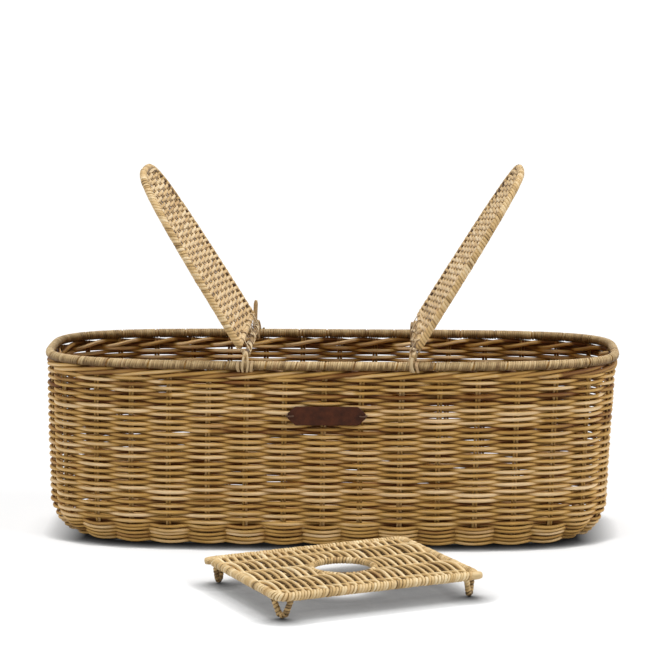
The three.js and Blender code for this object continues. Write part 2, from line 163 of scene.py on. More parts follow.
def paintFloor(look):
    paint, tree = newFinish("floorPaint")
    tree.nodes.remove(tree.nodes["Principled BSDF"])
    # painted shadow: ambient occlusion leaning towards the back darkens the floor's colour, faded out far to
    # the sides
    tilt = math.radians(look["contactTilt"])
    leaning = addNode(tree, "CombineXYZ", {"Y": math.sin(tilt), "Z": math.cos(tilt)})
    contact = addNode(tree, "AmbientOcclusion", {"Distance": look["contactReach"], "Normal": leaning}, "AO")
    deepened = addMath(tree, "POWER", contact, look["contactPower"])
    place = addNode(tree, "NewGeometry", {}, "Position")
    apart = addMath(tree, "ABSOLUTE", addNode(tree, "SeparateXYZ", {0: place}, "X"))
    clear = addMath(tree, "MAXIMUM", deepened, addSpread(tree, apart, *look["contactEnds"]))
    white = addMix(tree, clear, grey(0), grey(look["floorWhite"]))
    lit = addNode(tree, "BsdfDiffuse", {"Color": white})
    glow = addNode(tree, "Emission", {"Color": white})
    shown = addNode(tree, "MixShader", {0: look["floorGlow"], 1: lit, 2: glow})
    dull = addNode(tree, "BsdfDiffuse", {"Color": grey(look["floorBounce"])})
    surface = addNode(tree, "MixShader", {0: seenDirectly(tree), 1: dull, 2: shown})
    setInputs(tree, tree.nodes["Material Output"], {"Surface": surface})
    return paint


def setStudio(look):
    scene = bpy.context.scene
    scene.view_settings.view_transform = "Standard"
    world = bpy.data.worlds.new("studioSky")
    scene.world = world
    world.use_nodes = True
    tree = world.node_tree
    level = addSpread(tree, seenDirectly(tree), 0.0, 1.0, look["skyLevel"], 1.0)
    setInputs(tree, tree.nodes["Background"], {"Color": grey(1), "Strength": level})

    for name, (adds, rise, turn, spread) in look["lamps"].items():
        lamp = bpy.data.lights.new(name, "SUN")
        lamp.energy = adds * math.pi / math.sin(math.radians(rise))
        lamp.angle = math.radians(spread)
        light = bpy.data.objects.new(name, lamp)
        light.rotation_euler = (math.radians(90 - rise), 0, math.radians(turn))
        light.location = (0, 0, look["lampHeight"])
        scene.collection.objects.link(light)

    reach = look["floorReach"]
    mesh = bpy.data.meshes.new("studioFloor")
    corners = [(-reach, -reach, 0), (reach, -reach, 0), (reach, reach, 0), (-reach, reach, 0)]
    mesh.from_pydata(corners, [], [(0, 1, 2, 3)])
    mesh.materials.append(paintFloor(look))
    floor = bpy.data.objects.new("studioFloor", mesh)
    scene.collection.objects.link(floor)


setStudio(studio)
print("studio set")

# cane finishes
caneLooks = {
    "wall": {
        "dark": (112, 64, 8), "middle": (206, 162, 86), "light": (248, 217, 170),
        "stain": (140, 78, 32), "stainShare": 0.4, "fibre": 0.24, "rough": (0.5, 0.68), "bump": 0.35,
    },
    "rim": {
        "dark": (118, 90, 52), "middle": (186, 156, 108), "light": (220, 194, 146),
        "stain": (146, 96, 56), "stainShare": 0.3, "fibre": 0.28, "rough": (0.42, 0.6), "bump": 0.4,
    },
    "lid": {
        "dark": (72, 43, 14), "middle": (208, 172, 114), "light": (242, 218, 176),
        "stain": (202, 148, 82), "stainShare": 0.25, "fibre": 0.18, "rough": (0.45, 0.62), "bump": 0.3,
    },
    "panel": {
        "dark": (78, 54, 22), "middle": (206, 172, 116), "light": (244, 222, 178),
        "stain": (176, 122, 66), "stainShare": 0.25, "fibre": 0.22, "rough": (0.45, 0.62), "bump": 0.32,
    },
    "tie": {
        "dark": (150, 118, 78), "middle": (200, 172, 128), "light": (226, 202, 160),
        "stain": (160, 104, 60), "stainShare": 0.3, "fibre": 0.26, "rough": (0.42, 0.58), "bump": 0.35,
    },
}
caneGrain = {  # noise by the metre along, across and up a cane, then its detail
    "patches": ((22.0, 60.0, 60.0), 2.0), "patchTone": 0.22,  # slow changes of colour
    "streaks": ((60.0, 2600.0, 2600.0), 3.0), "fibreLift": 0.4,  # fibres, which darken more than they lighten
    "stains": ((9.0, 30.0, 30.0), 1.0),
    "patchSpan": (0.25, 0.75), "streakSpan": (0.3, 0.7), "stainSpan": (0.6, 0.78),  # of the noise that counts
    "bumpDepth": 0.0004, "specular": 0.35,
}


def makeCane(name, look):
    finish, tree = newFinish(name)
    tone = addNode(tree, "Attribute", {}, "Fac", attribute_name="tone")
    grain = addNode(tree, "Attribute", {}, "Vector", attribute_name="grain")  # metres on a straight cane

    def noise(stretch, detail):
        scaled = addNode(tree, "VectorMath", {0: grain, 1: stretch}, operation="MULTIPLY")
        return addNode(tree, "TexNoise", {"Vector": scaled, "Scale": 1.0, "Detail": detail}, "Fac")

    patches, streaks, stains = [noise(*caneGrain[kind]) for kind in ("patches", "streaks", "stains")]
    change, fibre, fibreSpan = caneGrain["patchTone"], look["fibre"], caneGrain["streakSpan"]
    patched = addSpread(tree, patches, *caneGrain["patchSpan"], -change, change)
    level = addMath(tree, "ADD", tone, patched)
    colour = addRamp(tree, level, (0, look["dark"]), (1, look["light"]), look["middle"])
    stained = addSpread(tree, stains, *caneGrain["stainSpan"], 0.0, look["stainShare"])
    colour = addMix(tree, stained, colour, linear(*look["stain"]))
    fibres = addSpread(tree, streaks, *fibreSpan, 1 - fibre, 1 + fibre * caneGrain["fibreLift"])
    shade = addNode(tree, "CombineColor", {0: fibres, 1: fibres, 2: fibres})
    smooth, coarse = look["rough"]
    depth = {"Strength": look["bump"], "Distance": caneGrain["bumpDepth"]}
    setInputs(tree, tree.nodes["Principled BSDF"], {
        "Base Color": addMix(tree, 1.0, colour, shade, "MULTIPLY"),
        "Roughness": addSpread(tree, streaks, *fibreSpan, coarse, smooth),
        "Normal": addNode(tree, "Bump", {"Height": streaks, **depth}),
        "Specular IOR Level": caneGrain["specular"],
    })
    return finish


caneFinish = {key: makeCane(key + "Cane", look) for key, look in caneLooks.items()}
print("finishes made:", len(caneFinish))

# lines in space
straightUp = np.array([0, 0, 1.0])


def every(direction, count):
    return np.tile(direction, (count, 1))


def unit(rows):
    return rows / np.linalg.norm(rows, axis=1)[:, None]


def travel(path):
    # how far along a line each of its points is
    return np.concatenate([[0], np.cumsum(np.linalg.norm(np.diff(path, axis=0), axis=1))])


def upright(path):
    return every(straightUp, len(path))


def inSpace(flat):
    # directions on the plan as level directions in space
    return np.column_stack([flat, np.zeros(len(flat))])


def crossRod(y, x=0.0, z=0.0):
    # a rod along y, with its two cross directions
    path = np.column_stack([x + 0 * y, y, z + 0 * y])
    return path, every([1.0, 0, 0], len(y)), upright(y)


def smoothPath(marks, count):
    # a smooth line through the marks
    marks = np.asarray(marks, float)
    reach = travel(marks)
    slope = np.gradient(marks, reach, axis=0)
    place = np.linspace(0, reach[-1], count)
    part = np.clip(np.searchsorted(reach, place, side="right") - 1, 0, len(marks) - 2)
    gap = np.diff(reach)[part][:, None]
    t = ((place - reach[part]) / np.diff(reach)[part])[:, None]
    return ((2 * t ** 3 - 3 * t ** 2 + 1) * marks[part] + (t ** 3 - 2 * t ** 2 + t) * gap * slope[part]
            + (3 * t ** 2 - 2 * t ** 3) * marks[part + 1] + (t ** 3 - t ** 2) * gap * slope[part + 1])


# canes are laid into a bundle, which then becomes one mesh
grainShift = (40, 0.5, 0.5)  # metres, so that no two canes have the same grain
tipLength = 0.4  # of a cane's half thickness
peelShapes = {  # one turn of a winding, cut across
    "crowned": np.array([(-1, -1), (-0.97, 0.1), (-0.6, 0.82), (0, 1), (0.6, 0.82), (0.97, 0.1), (1, -1)]),
    "flat": np.array([(-1, -1), (-0.99, 0.35), (-0.82, 0.9), (0, 1), (0.82, 0.9), (0.99, 0.35), (1, -1)]),
}
stripShape = np.array([(-1, 0), (-0.8, -0.8), (0, -1), (0.8, -0.8), (1, 0), (0.8, 0.8), (0, 1), (-0.8, 0.8)])


def roundShape(sides):
    angle = np.arange(sides) * 2 * np.pi / sides
    return np.stack([np.cos(angle), np.sin(angle)], axis=1)


def newBundle(seed, place=None):
    parts = {key: [] for key in ("points", "quads", "tris", "tone", "grain")}
    return {**parts, "size": 0, "random": np.random.default_rng(seed), "place": place}


def layCane(bundle, path, across, upward, tone, shape, closed=False):
    rings, sides = len(path), len(shape)
    middle = rings // 2
    ahead = path[(middle + 1) % rings] - path[middle - 1]
    flip = np.dot(np.cross(across[middle], upward[middle]), ahead) < 0
    flip = flip != (shape[0, 0] * shape[1, 1] < shape[0, 1] * shape[1, 0])
    points = path[:, None] + across[:, None] * shape[None, :, :1] + upward[:, None] * shape[None, :, 1:]
    wide = np.linalg.norm(across, axis=1)[:, None] * shape[None, :, 0]
    high = np.linalg.norm(upward, axis=1)[:, None] * shape[None, :, 1]
    along = np.broadcast_to(travel(path)[:, None], wide.shape)
    grain = np.stack([along, wide, high], axis=-1) + bundle["random"].uniform(0, 1, 3) * grainShift
    tones = tone if np.ndim(tone) == 2 else np.broadcast_to(tone, (rings,))[:, None]
    tones = np.broadcast_to(tones, wide.shape)
    index = bundle["size"] + np.arange(rings * sides).reshape(rings, sides)
    here = index if closed else index[:-1]
    ahead = np.roll(index, -1, axis=0) if closed else index[1:]
    quads = np.stack([here, np.roll(here, -1, 1), np.roll(ahead, -1, 1), ahead], axis=-1).reshape(-1, 4)
    bundle["quads"].append(quads[:, ::-1] if flip else quads)
    bundle["points"].append(points.reshape(-1, 3))
    bundle["grain"].append(grain.reshape(-1, 3))
    bundle["tone"].append(tones.reshape(-1))
    bundle["size"] += rings * sides
    if closed:
        return
    for end, beside, wind in ((0, 1, not flip), (-1, -2, flip)):  # rounded ends
        outward = path[end] - path[beside]
        outward = outward / np.linalg.norm(outward)
        ring = index[end]
        after = np.roll(ring, -1)
        hub = np.full(sides, bundle["size"])
        bundle["tris"].append(np.stack([hub, after, ring] if wind else [hub, ring, after], axis=-1))
        bundle["points"].append((path[end] + outward * tipLength * np.linalg.norm(upward[end]))[None])
        bundle["grain"].append(grain[end].mean(0)[None])
        bundle["tone"].append(tones[end][:1])
        bundle["size"] += 1


def layRod(bundle, rod, radius, tone, sides=10, closed=False):
    # a round cane along a line that comes with its two cross directions
    path, across, upward = rod
    layCane(bundle, path, across * radius, upward * radius, tone, roundShape(sides), closed)


def placePiece(name, mesh, finish, body, slotName, *nodes):
    mesh.materials.append(finish)
    piece = bpy.data.objects.new(name, mesh)
    bpy.context.scene.collection.objects.link(piece)
    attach(piece, body)
    if nodes:
        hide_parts(*nodes)
    print("made", name, "faces", len(mesh.polygons))


def makePiece(bundle, name, finish, body, slotName, *nodes):
    points = np.concatenate(bundle["points"])
    if bundle["place"] is not None:
        points = points @ bundle["place"][:3, :3].T + bundle["place"][:3, 3]
    quads = np.concatenate(bundle["quads"])
    tris = np.concatenate(bundle["tris"]) if bundle["tris"] else np.zeros((0, 3), int)
    mesh = bpy.data.meshes.new(name)
    mesh.vertices.add(len(points))
    mesh.vertices.foreach_set("co", points.astype(np.float32).ravel())
    corners = np.concatenate([quads.ravel(), tris.ravel()]).astype(np.int32)
    mesh.loops.add(len(corners))
    mesh.loops.foreach_set("vertex_index", corners)
    starts = np.concatenate([np.arange(len(quads)) * 4, len(quads) * 4 + np.arange(len(tris)) * 3])
    mesh.polygons.add(len(starts))
    mesh.polygons.foreach_set("loop_start", starts.astype(np.int32))
    mesh.polygons.foreach_set("use_smooth", np.ones(len(starts), bool))
    mesh.update(calc_edges=True)
    mesh.validate()
    tone = mesh.attributes.new("tone", "FLOAT", "POINT")
    tone.data.foreach_set("value", np.concatenate(bundle["tone"]).astype(np.float32))
    grain = mesh.attributes.new("grain", "FLOAT_VECTOR", "POINT")
    grain.data.foreach_set("vector", np.concatenate(bundle["grain"]).astype(np.float32).ravel())
    placePiece(name, mesh, finish, body, slotName, *nodes)


def keepWall(bundle, name, node):
    makePiece(bundle, name, caneFinish["wall"], "basket", "wall_cane", node)


def caneTones(random, count, joins, spread, middle=0.5):
    # colour along a row that is made of several canes, one after the other
    cuts = np.sort(random.uniform(0, count, joins)).astype(int)
    levels = np.clip(random.normal(middle, spread, joins + 1), 0, 1)
    levels[-1] = levels[0]
    return levels[np.searchsorted(cuts, np.arange(count), side="right")]


def dipShade(wave, shape, dip):
    # how far a cane dips behind its stakes, told apart for its upper and its lower face, as the mask for
    # painted shade
    face = np.where(shape[:, 1] < -0.1, -1, 1)
    return np.clip(-wave[:, None] * face - dip, 0, 1)


paintedShadeReach = 0.3  # how far out from behind a stake the painted shade shows


def paintedShadeAndLight(tone, forward, shape, weave):
    # painted shade on the side that lies against a stake and along the upper and lower edges, and painted
    # light on the inner face of a cane that lies inside its stakes
    outward = shape[None, :, 0]
    behind = weave["backTone"] * np.clip(paintedShadeReach - forward[:, None] * np.sign(np.round(outward, 3)), 0, 1)
    inside = weave["innerLift"] * np.clip(-outward, 0, 1) * np.clip(-forward[:, None], 0, 1)
    return np.clip(tone[:, None] - behind + inside - weave["edgeTone"] * np.abs(shape[None, :, 1]) ** 2, 0, 1)


# plan of the basket, read from the rim hoop
basketPlan = {
    "power": 3.6,  # how square the ends are
    "endRise": 0.0008,  # how much higher the rim is at the two ends
    "stakes": 36,
    "stakeShift": -0.0047,  # metres round the plan
    "stakeWander": 0.0011,
    "steps": 24000,
    "seed": 3,
}


def readPlan(shape):
    low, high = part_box("rim_hoop")
    core = (high.z - low.z) / 2
    flat = core * math.cos(math.pi / 6)  # the hoop's solid is six-sided, with a corner on top
    halfLength, halfWidth = (high.x - low.x) / 2 - flat, (high.y - low.y) / 2 - flat
    turn = np.linspace(0, 2 * np.pi, shape["steps"] + 1)
    power = shape["power"]
    inverse = np.abs(np.cos(turn) / halfLength) ** power + np.abs(np.sin(turn) / halfWidth) ** power
    reach = inverse ** (-1 / power)
    x, y = reach * np.cos(turn), reach * np.sin(turn)
    halves = (x, halfLength), (y, halfWidth)
    away = [np.sign(part) * np.abs(part / half) ** (power - 1) / half for part, half in halves]
    distance = np.concatenate([[0], np.cumsum(np.hypot(np.diff(x), np.diff(y)))])
    return {
        "halfLength": halfLength, "halfWidth": halfWidth, "length": distance[-1], "distance": distance,
        "x": x, "y": y, "away": unit(np.stack(away, axis=1)),
        "rimHeight": (low.z + high.z) / 2, "rimCore": core,
    }


plan = readPlan(basketPlan)


def planAt(distance):
    # points on the plan and the directions straight out of it
    distance = np.mod(distance, plan["length"])
    point = np.stack([np.interp(distance, plan["distance"], plan[key]) for key in ("x", "y")], axis=-1)
    away = np.stack([np.interp(distance, plan["distance"], plan["away"][:, k]) for k in (0, 1)], axis=-1)
    return point, away


def rimRise(x):
    return basketPlan["endRise"] * (x / plan["halfLength"]) ** 2


def ovalReach(half, share):
    # half of an oval like the plan, at a share of its other half
    power = basketPlan["power"]
    return half * np.maximum(0, 1 - np.abs(share) ** power) ** (1 / power)


def planWidthAt(x):
    return float(ovalReach(plan["halfWidth"], x / plan["halfLength"]))


stakeRandom = np.random.default_rng(basketPlan["seed"])
stakeCount = basketPlan["stakes"]
stakePlaces = (np.arange(stakeCount) * plan["length"] / stakeCount + basketPlan["stakeShift"]
               + stakeRandom.uniform(-1, 1, stakeCount) * basketPlan["stakeWander"])


def stakeDistance(u):
    # distance round the plan of a place counted in stakes
    whole = np.arange(-1, stakeCount + 2)
    length = plan["length"]
    places = np.concatenate([stakePlaces[-1:] - length, stakePlaces, stakePlaces[:2] + length])
    return np.interp(np.mod(u, stakeCount), whole, places)


def allRound(steps):
    # places counted in stakes, from the middle of the back
    return np.arange(stakeCount * steps) / steps + stakeCount / 4


def stakeNoise(random, u, size):
    # a random value for each stake, softened with its neighbours
    value = random.normal(0, size, stakeCount)
    value = (np.roll(value, 1) + 2 * value + np.roll(value, -1)) / 2.5
    return np.interp(np.mod(u, stakeCount), np.arange(stakeCount + 1), np.append(value, value[0]))


wallProfile = {
    "setIn": 0.0027, "taper": 0.0045, "bendHeight": 0.038,
    "bendDepth": 0.003, "endBendDepth": 0.0115, "cornerBendDepth": 0.0075,
    "skew": -0.0036,  # how far the foot stands to one side of the rim
    "top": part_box("side_wall")[1].z, "foot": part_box("side_wall")[0].z,
}


def wallInset(z, away):
    shape = wallProfile
    z = np.asarray(z, float)
    lean = shape["taper"] * np.clip((shape["top"] - z) / (shape["top"] - shape["bendHeight"]), 0, 1)
    depth = shape["bendDepth"] + (shape["endBendDepth"] - shape["bendDepth"]) * away[..., 0] ** 2
    depth = depth + shape["cornerBendDepth"] * (2 * away[..., 0] * away[..., 1]) ** 2
    tuck = np.maximum((shape["bendHeight"] - z) / (shape["bendHeight"] - shape["foot"]), 0)
    return shape["setIn"] + lean + depth * tuck ** 2


def wallSkew(z):
    return wallProfile["skew"] * np.clip(1 - (np.asarray(z) / plan["rimHeight"]) ** 2, 0, 1)


def onWall(u, offset, z, level=None):
    # points at places counted in stakes, moved out of the middle of the wall and up
    point, away = planAt(stakeDistance(u))
    z = np.broadcast_to(z, point.shape[:1])
    flat = point + away * (offset - wallInset(z if level is None else level, away))[:, None]
    flat[:, 0] += wallSkew(z)
    z = z + rimRise(point[:, 0]) * z / plan["rimHeight"]
    return np.column_stack([flat, z]), inSpace(away)


# side wall: rows of round cane that go in front of one stake and behind the next
wallWeave = {
    "rows": 45, "low": 0.0238, "high": 0.1785,  # middles of the first and last rows
    "swing": 0.0033, "swingSpread": 0.06,
    "halfHeight": 0.00202, "halfDepth": 0.0021, "swell": 0.04,  # thicker over a stake, thinner between two
    "backSwell": 0.01,  # closer woven along the back
    "steps": 8, "sides": 8,
    "waves": 7, "waveTurns": (1, 6), "waveClimb": (-3, 3),  # how the rows rise and fall together
    "wander": 0.00035, "jitter": 0.00036, "thickSpread": 0.1, "joins": (2, 5),
    # the last tones: painted shade beside the stakes and along the edges, painted light on inner faces
    "tone": 0.68, "toneSpread": 0.17, "backTone": 0.5, "edgeTone": 0.36, "innerLift": 0.5, "seed": 11,
}


def weaveWall(weave):
    random = np.random.default_rng(weave["seed"])
    rows = weave["rows"]
    u = allRound(weave["steps"])
    back = np.clip(planAt(stakeDistance(u))[0][:, 1] / plan["halfWidth"], 0, 1)
    swell = 1 + weave["swell"] * np.cos(2 * np.pi * u)
    turnRange, climbRange = weave["waveTurns"], weave["waveClimb"]
    waves = [
        (random.integers(*turnRange), random.uniform(*climbRange), random.uniform(0, 2 * np.pi))
        for _ in range(weave["waves"])
    ]
    shape = roundShape(weave["sides"])
    upper, lower = newBundle(weave["seed"] + 1), newBundle(weave["seed"] + 2)
    for row in range(rows):
        level = row / (rows - 1)
        z = np.full(len(u), weave["low"] + (weave["high"] - weave["low"]) * level)
        for turns, climb, start in waves:
            sway = np.sin(2 * np.pi * (turns * u / stakeCount + climb * level) + start)
            z += weave["wander"] * sway * math.sin(math.pi * level) ** 0.5
        z += stakeNoise(random, u, weave["jitter"])
        fat = (1 + weave["thickSpread"] * random.uniform(-1, 1)) * swell * (1 + weave["backSwell"] * back)
        forward = np.cos(np.pi * (u + row))
        uneven = np.interp(np.mod(u, stakeCount), np.arange(stakeCount), random.normal(0, 1, stakeCount))
        path, away = onWall(u, weave["swing"] * forward * (1 + weave["swingSpread"] * uneven), z)
        joins = random.integers(*weave["joins"])
        tone = caneTones(random, len(u), joins, weave["toneSpread"], weave["tone"])
        deep = away * (weave["halfDepth"] * fat)[:, None]
        high = np.outer(weave["halfHeight"] * fat, straightUp)
        bundle = upper if row >= rows / 2 else lower
        layCane(bundle, path, deep, high, paintedShadeAndLight(tone, forward, shape, weave), shape, True)
    keepWall(lower, "wallRowsLower", "side_wall")
    keepWall(upper, "wallRowsUpper", "side_wall")


weaveWall(wallWeave)

# stakes: pairs of thin upright canes
wallStakes = {
    "radius": 0.00138, "apart": 0.0031, "low": 0.0030, "high": 0.1885, "steps": 30, "sides": 7,
    "tone": 0.55, "toneSpread": 0.06, "innerShade": 0.5, "innerReach": 0.2, "seed": 21,
}


def standStakes(stake):
    bundle = newBundle(stake["seed"])
    random = bundle["random"]
    z = np.linspace(stake["low"], stake["high"], stake["steps"])
    # painted shade on the inward side of each stake
    inner = stake["innerShade"] * np.clip(stake["innerReach"] - roundShape(stake["sides"])[None, :, 1], 0, 1)
    spacing = plan["length"] / stakeCount
    for number in range(stakeCount):
        for side in (-0.5, 0.5):
            path, away = onWall(np.full(len(z), number + side * stake["apart"] / spacing), 0.0, z)
            along = np.column_stack([-away[:, 1], away[:, 0], 0 * z])
            tone = np.clip(random.normal(stake["tone"], stake["toneSpread"]) - inner, 0, 1)
            layRod(bundle, (path, along, away), stake["radius"], every(tone, len(z)), stake["sides"])
    keepWall(bundle, "wallStakes", "side_wall")


standStakes(wallStakes)

# top wale: three rods that twist round the stakes, in front of two and behind one
topWale = {
    "middle": 0.1840, "reach": 0.0036, "rise": 0.0031, "jitter": 0.0003,
    "outWave": (0.333, 1.025, -0.308), "upWave": (0.95, -0.2),  # shares with none, one and two waves a turn
    "radius": 0.0024, "thickRange": (0.94, 1.05), "steps": 7, "sides": 8, "joins": 3,
    # the last tones: painted shade beside the stakes and along the edges, painted light on inner faces
    "tone": 0.62, "toneSpread": 0.2, "backTone": 0.5, "edgeTone": 0.5, "innerLift": 0.5, "seed": 31,
}
# foot: two canes a round, which cross between the stakes and hang down a little in front of each
footPairing = {
    "rounds": 5, "low": 0.0037, "high": 0.0202, "reach": 0.0033, "dip": 0.0015, "jitter": 0.0004,
    "radius": 0.0020, "thickRange": (0.93, 1.05), "steps": 8, "sides": 8, "joins": 3,
    # the last tones: painted shade beside the stakes and along the edges, painted light on inner faces
    "tone": 0.6, "toneSpread": 0.17, "backTone": 0.5, "edgeTone": 0.3, "innerLift": 0.2, "seed": 41,
}


def layRound(bundle, weave, u, out, z, middle, forward, onFloor=False):
    # one cane all round the wall
    random = bundle["random"]
    z = z + stakeNoise(random, u, weave["jitter"])
    path, away = onWall(u, out, z, middle)
    fat = weave["radius"] * random.uniform(*weave["thickRange"])
    if onFloor:
        path[:, 2] = np.maximum(z, fat)
    tone = caneTones(random, len(u), weave["joins"], weave["toneSpread"], weave["tone"])
    shape = roundShape(weave["sides"])
    tone = paintedShadeAndLight(tone, forward, shape, weave)
    layCane(bundle, path, away * fat, every(straightUp * fat, len(u)), tone, shape, True)


def twistWale(wale):
    bundle = newBundle(wale["seed"])
    u = allRound(wale["steps"])
    always, once, twice = wale["outWave"]
    upOnce, upTwice = wale["upWave"]
    for rod in range(3):
        turn = 2 * np.pi * np.mod(u - 0.5 - rod, 3) / 3
        out = wale["reach"] * (always + once * np.cos(turn) + twice * np.cos(2 * turn))
        up = wale["rise"] * (upOnce * np.sin(turn) + upTwice * np.sin(2 * turn))
        layRound(bundle, wale, u, out, wale["middle"] + up, wale["middle"], np.sign(out))
    keepWall(bundle, "topWaleRods", "top_wale")


def pairFoot(pair):
    bundle = newBundle(pair["seed"])
    u = allRound(pair["steps"])
    for number, level in enumerate(np.linspace(pair["low"], pair["high"], pair["rounds"])):
        for strand in (0, 1):
            forward = np.cos(np.pi * (u + strand + number))
            out, z = pair["reach"] * forward, level - pair["dip"] * forward
            layRound(bundle, pair, u, out, z, level, forward, True)
    keepWall(bundle, "footPairing", "foot_wale")


twistWale(topWale)
pairFoot(footPairing)


def alongRow(start, stop, spacing, weave):
    # points along a row, so many from one stake to the next
    return np.linspace(start, stop, max(weave["leastSteps"], int((stop - start) / spacing * weave["steps"])))


# base: rows along the basket over pairs of sticks across it
baseMat = {
    "rows": 30, "sticks": 7, "height": 0.0043, "swing": 0.0019, "halfWidth": 0.0029, "halfThick": 0.0021,
    "stickRadius": 0.0017, "stickGap": 2.2,  # the gap in radii, from middle to middle
    "inset": 0.0165, "endInset": 0.030, "rowWander": 0.00015,
    "rowSpare": 0.001,  # leaves some length to the outermost rows
    "joins": 2, "toneSpread": 0.16, "stickTone": (0.5, 0.1),
    "steps": 9, "leastSteps": 6, "stickSteps": 12, "sides": 8, "seed": 51,
}


def weaveBase(mat):
    bundle = newBundle(mat["seed"])
    random = bundle["random"]
    halfWidth = plan["halfWidth"] - mat["inset"]
    halfLength = plan["halfLength"] - mat["endInset"]
    shape = roundShape(mat["sides"])
    spacing = 2 * halfLength / (mat["sticks"] + 1)
    for row in range(mat["rows"] + 1):
        y = halfWidth * (2 * row / mat["rows"] - 1)
        reach = ovalReach(halfLength, y / (halfWidth + mat["rowSpare"]))
        x = alongRow(-reach, reach, spacing, mat)
        z = mat["height"] + mat["swing"] * np.cos(np.pi * (x / spacing + row + 1))
        path = np.column_stack([x + wallSkew(0), y + random.normal(0, mat["rowWander"]) + 0 * x, z])
        wide, high = every([0, mat["halfWidth"], 0], len(x)), every(straightUp * mat["halfThick"], len(x))
        tone = caneTones(random, len(x), mat["joins"], mat["toneSpread"])
        layCane(bundle, path, wide, high, tone, shape)
    for number in range(mat["sticks"]):
        for pair in (-0.5, 0.5):
            x = (number + 1) * spacing - halfLength + pair * mat["stickGap"] * mat["stickRadius"]
            reach = ovalReach(halfWidth, x / halfLength)
            rod = crossRod(np.linspace(-reach, reach, mat["stickSteps"]), x + wallSkew(0), mat["height"])
            layRod(bundle, rod, mat["stickRadius"], random.normal(*mat["stickTone"]), mat["sides"])
    keepWall(bundle, "baseWeave", "base_mat")


weaveBase(baseMat)


# winding: flat peel round a rod, one real turn after another
def rodAlong(rod, closed):
    # a rod's line and its two cross directions, as a function of the distance along it
    parts = [np.vstack([part, part[:1]]) if closed else part for part in rod]
    distance = travel(parts[0])

    def at(s):
        s = np.mod(s, distance[-1]) if closed else np.clip(s, 0, distance[-1])
        return [np.stack([np.interp(s, distance, part[:, k]) for k in range(3)], axis=-1) for part in parts]

    return at, distance[-1]


def turnEnds(random, length, peel):
    # where each turn starts, and the gap that follows it
    ends, gaps, place, untilGap = [], [], 0.0, random.integers(*peel["turnsToGap"])
    while place < length:
        gap = 0.0
        untilGap -= 1
        if untilGap <= 0:
            gap = random.uniform(*peel["gap"])
            untilGap = random.integers(*peel["turnsToGap"])
        ends.append(place)
        gaps.append(gap)
        place += random.uniform(*peel["width"]) + gap
    scale = length / place
    return np.append(np.array(ends) * scale, length), np.array(gaps) * scale


slantRun = 6  # turns between two changes of their lean
slantMost = 1.6  # times the lean that a winding has by its own values
innerStart, underStart = 0.2, 0.35  # in radii, where the shade begins inward of a rod and above its middle


def windPeel(bundle, rod, coreRadius, peel, closed=False):
    random = bundle["random"]
    line, length = rodAlong(rod, closed)
    ends, gaps = turnEnds(random, length, peel)
    steps = peel["steps"]
    turns = len(gaps)
    turn = np.repeat(np.arange(turns), steps)
    share = np.tile(np.arange(steps) / steps, turns)
    pitch = np.diff(ends)
    angle = 2 * np.pi * share
    slant = peel.get("slant", 0.0) * coreRadius
    if slant:
        marks = np.arange(0, turns + 2 * slantRun, slantRun)
        lean = random.uniform(0, slantMost, len(marks))
        slant = slant * np.interp(np.arange(len(angle)) / steps, marks, lean)
    centre, across, upward = line(ends[turn] + pitch[turn] * share + slant * np.sin(angle))
    radial = across * np.cos(angle)[:, None] + upward * np.sin(angle)[:, None]
    thick = peel["thickness"]
    lift = 1 + peel.get("ruffle", 0.0) * random.normal(0, 1, turns)
    radius = coreRadius + thick * 0.5 * np.interp(np.arange(len(turn)) / steps, np.arange(turns), lift)
    half = (pitch - gaps)[turn] * 0.5
    after = (np.append(pitch, pitch[-1]) - np.append(gaps, gaps[-1]))[turn + 1] * 0.5
    half = (half * (1 - share) + after * share) * peel.get("cover", 0.98)
    path = centre + radial * radius[:, None]
    wide = unit(np.cross(radial, np.gradient(path, axis=0)))
    level = np.clip(random.normal(peel["tone"], peel["toneSpread"], turns + 1), 0, 1)
    shape = peelShapes[peel["shape"]]
    tone = level[turn] * (1 - share) + level[turn + 1] * share
    # painted shade on a rod's inner side, on its lower part and along the edges of each turn
    tone = tone - peel.get("innerShade", 0.0) * np.clip(-np.cos(angle) - innerStart, 0, 1)
    tone = tone - peel.get("underShade", 0.0) * np.clip(underStart - np.sin(angle), 0, 1)
    tone = np.clip(tone[:, None] - peel["edgeTone"] * shape[None, :, 0] ** 4, 0, 1)
    layCane(bundle, path, wide * half[:, None], radial * thick * 0.5, tone, shape)


def facedStrip(bundle, path, facing, halfWidth, thickness, tone, closed=False):
    # a flat strip, its width as near as can be to one direction
    ahead = np.roll(path, -1, 0) - np.roll(path, 1, 0)
    if not closed:
        ahead[0], ahead[-1] = path[1] - path[0], path[-1] - path[-2]
    ahead = unit(ahead)
    hints = every(facing, len(path))
    wide = unit(hints - ahead * np.sum(hints * ahead, axis=1)[:, None])
    halfWidth = np.broadcast_to(halfWidth, (len(path),))[:, None]
    layCane(bundle, path, wide * halfWidth, np.cross(ahead, wide) * thickness * 0.5, tone, stripShape, closed)


# rim: a hoop bound with flat peel that opens a slot by each stake
rimBinding = {
    "width": (0.0020, 0.0028), "thickness": 0.0010, "turnsToGap": (12, 19), "gap": (0.0013, 0.0022),
    # painted shade on the lower part of the rim and along the edges of its turns
    "steps": 12, "tone": 0.67, "toneSpread": 0.15, "edgeTone": 0.25, "underShade": 0.75,
    "ruffle": 0.1, "cover": 0.96, "slant": 0.2, "shape": "flat",
    "hoopSteps": 360, "hoopTone": 0.25, "seed": 61,
}


